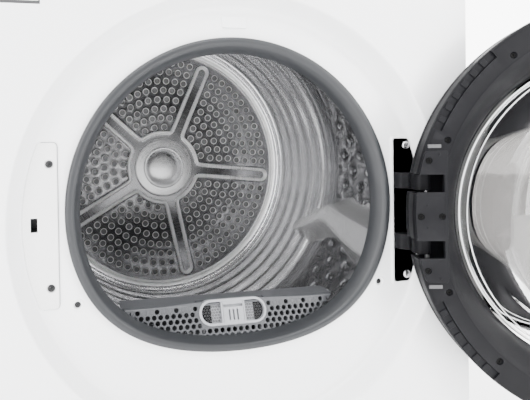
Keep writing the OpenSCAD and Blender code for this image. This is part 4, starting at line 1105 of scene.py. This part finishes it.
def door_leaf():
    y = RING_Y
    edge = 251.4
    outline = [(214.3, -78), (214.3, 78)]
    outline += [(edge * math.cos(a), edge * math.sin(a))
                for a in np.linspace(math.asin(76 / edge), -math.asin(76 / edge), 21)]
    outline = [(x, DOOR_Z + z) for x, z in rounded(outline, 5, 4)]
    leaf = to_object("door_leaf_plate", prism(outline, y - 1.2, y + 1.3, "y", 0.7, 3))
    cutters = []
    for s in (-1, 1):
        z = DOOR_Z + s * ARM_Z
        cutters.append(prism(rounded(rect(218.5, 260, z - 10.2, z + 10.2), 1.2, 3), y - 4, y + 5, "y"))
    for px, pz in LEAF_SCREWS:
        cutters.append(bm_rows([(3.9, y + 2), (3.9, y + 0.2)], px, DOOR_Z + pz, 32))
    cut(leaf, *cutters)
    on_door(leaf, DOOR_GREY, ("door_hinge_leaf",), smooth=40)
    head = ((3.3, 0), (3.3, 0.8), (2.8, 1.1), (1.8, 1.1), (1.4, 0.4), (0.02, 0.4))
    sunk_screws("door_leaf_screw", head, [(px, DOOR_Z + pz) for px, pz in LEAF_SCREWS], 28)
    pips = [bm_rows([(1.3, y + 1.2), (1.2, y + 1.6), (0.8, y + 1.8), (0.02, y + 1.85)], px, DOOR_Z + pz, 16)
            for px, pz in ((224, 72), (250, 26), (238, 13), (238, -13), (250, -26), (224, -72))]
    on_door(to_object("door_leaf_pips", merge(*pips)), DOOR_GREY)
    for s, name in ((-1, "low"), (1, "high")):
        lo, hi = sorted((DOOR_Z + s * 79.6, DOOR_Z + s * 83.8))
        tab = bm_box(221.5, 236.6, y - 0.5, y + 0.7, lo, hi, 0.4, 2)
        on_door(to_object(f"door_tab_{name}", tab), TAB_GREY)


def door_glass_highlights():
    """Thin white beads on the bowl's fire-polished edge and on the soft step in its side wall: painted highlights
    where the glass shines.
    """
    for r, y, size, name in ((186.6, -313.4, 1.0, "outer"), (182.9, -305.5, 0.5, "inner")):
        bm = outward(bm_mesh(*lathe(circle(size, 12, r, y), 0, DOOR_Z, 224)))
        on_door(to_object(f"door_bowl_edge_{name}", bm), GLASS_HIGHLIGHT, smooth=60)


def door_liner():
    """The light grey inner face of the outer cover, seen through the bowl's side wall."""
    dome = [(r, FRONT_Y - 36.6 + 27.0 * (r / 256) ** 2) for r in np.linspace(171.5, 189.0, 6)]
    shape = dome + [(r, y + 0.6) for r, y in dome[::-1]]
    liner = to_object("door_cover_liner", bm_mesh(*lathe(shape, 0, DOOR_Z, 160)))
    on_door(liner, LINER, smooth=50)


def door_glass():
    """A pressed bowl: base rim, side wall, end, and a slope below that clears the filter."""
    shape = smooth_profile([(197.5, -319.8), (193, -320.0), (189.5, -319.2), (186, -315), (184, -311),
                            (181, -300), (178, -289), (174.5, -277), (171, -266), (167, -257.5), (160, -250),
                            (152, -245.3), (143, -242.5), (110, -241.2), (60, -240.4), (2, -240.2)], 2)
    cols = 192
    slope_y, slope_z, rise = -318.0, 264.0, math.tan(math.radians(90 - 56.9))

    def skin(inset):
        rows = []
        for i, (r, y) in enumerate(shape):
            lean = Vector(shape[min(i + 1, len(shape) - 1)]) - Vector(shape[max(i - 1, 0)])
            normal = Vector((lean.y, -lean.x)).normalized() * inset
            rr, yy = max(0.5, r - abs(normal.x)), y - abs(normal.y) * (1 if i > 6 else 0)
            row = []
            for j in range(cols):
                a = 2 * math.pi * j / cols
                x, z = rr * math.cos(a), DOOR_Z + rr * math.sin(a)
                # the slope rises from the rim towards the end of the bowl
                floor = slope_z + inset * 1.3 + (yy - slope_y) / rise
                if i > 8:
                    push = floor - z
                    z += 0.5 * (push + math.sqrt(push * push + 60.0)) if push > -60 else 0.0
                    # the shut door's bowl passes inside the collar
                    drop = z - MOUTH_Z
                    room = (soft_mouth(math.atan2(drop, x), *COLLAR_IN) - 2.2 - inset
                            + 0.6 * max(0.0, -287.0 - yy)) / max(1.0, math.hypot(x, drop))
                    if room < 1:
                        x, z = x * room, MOUTH_Z + drop * room
                row.append((x, yy, z))
            rows.append(row)
        return rows

    bm = bm_mesh(*tube(skin(0.0) + skin(4.0)[::-1]))
    bmesh.ops.remove_doubles(bm, verts=bm.verts, dist=0.01)
    on_door(to_object("door_bowl_glass", bm), GLASS, ("door_glass_bowl",), smooth=60)


door_ring()
door_leaf()
door_glass()
door_glass_highlights()
door_liner()
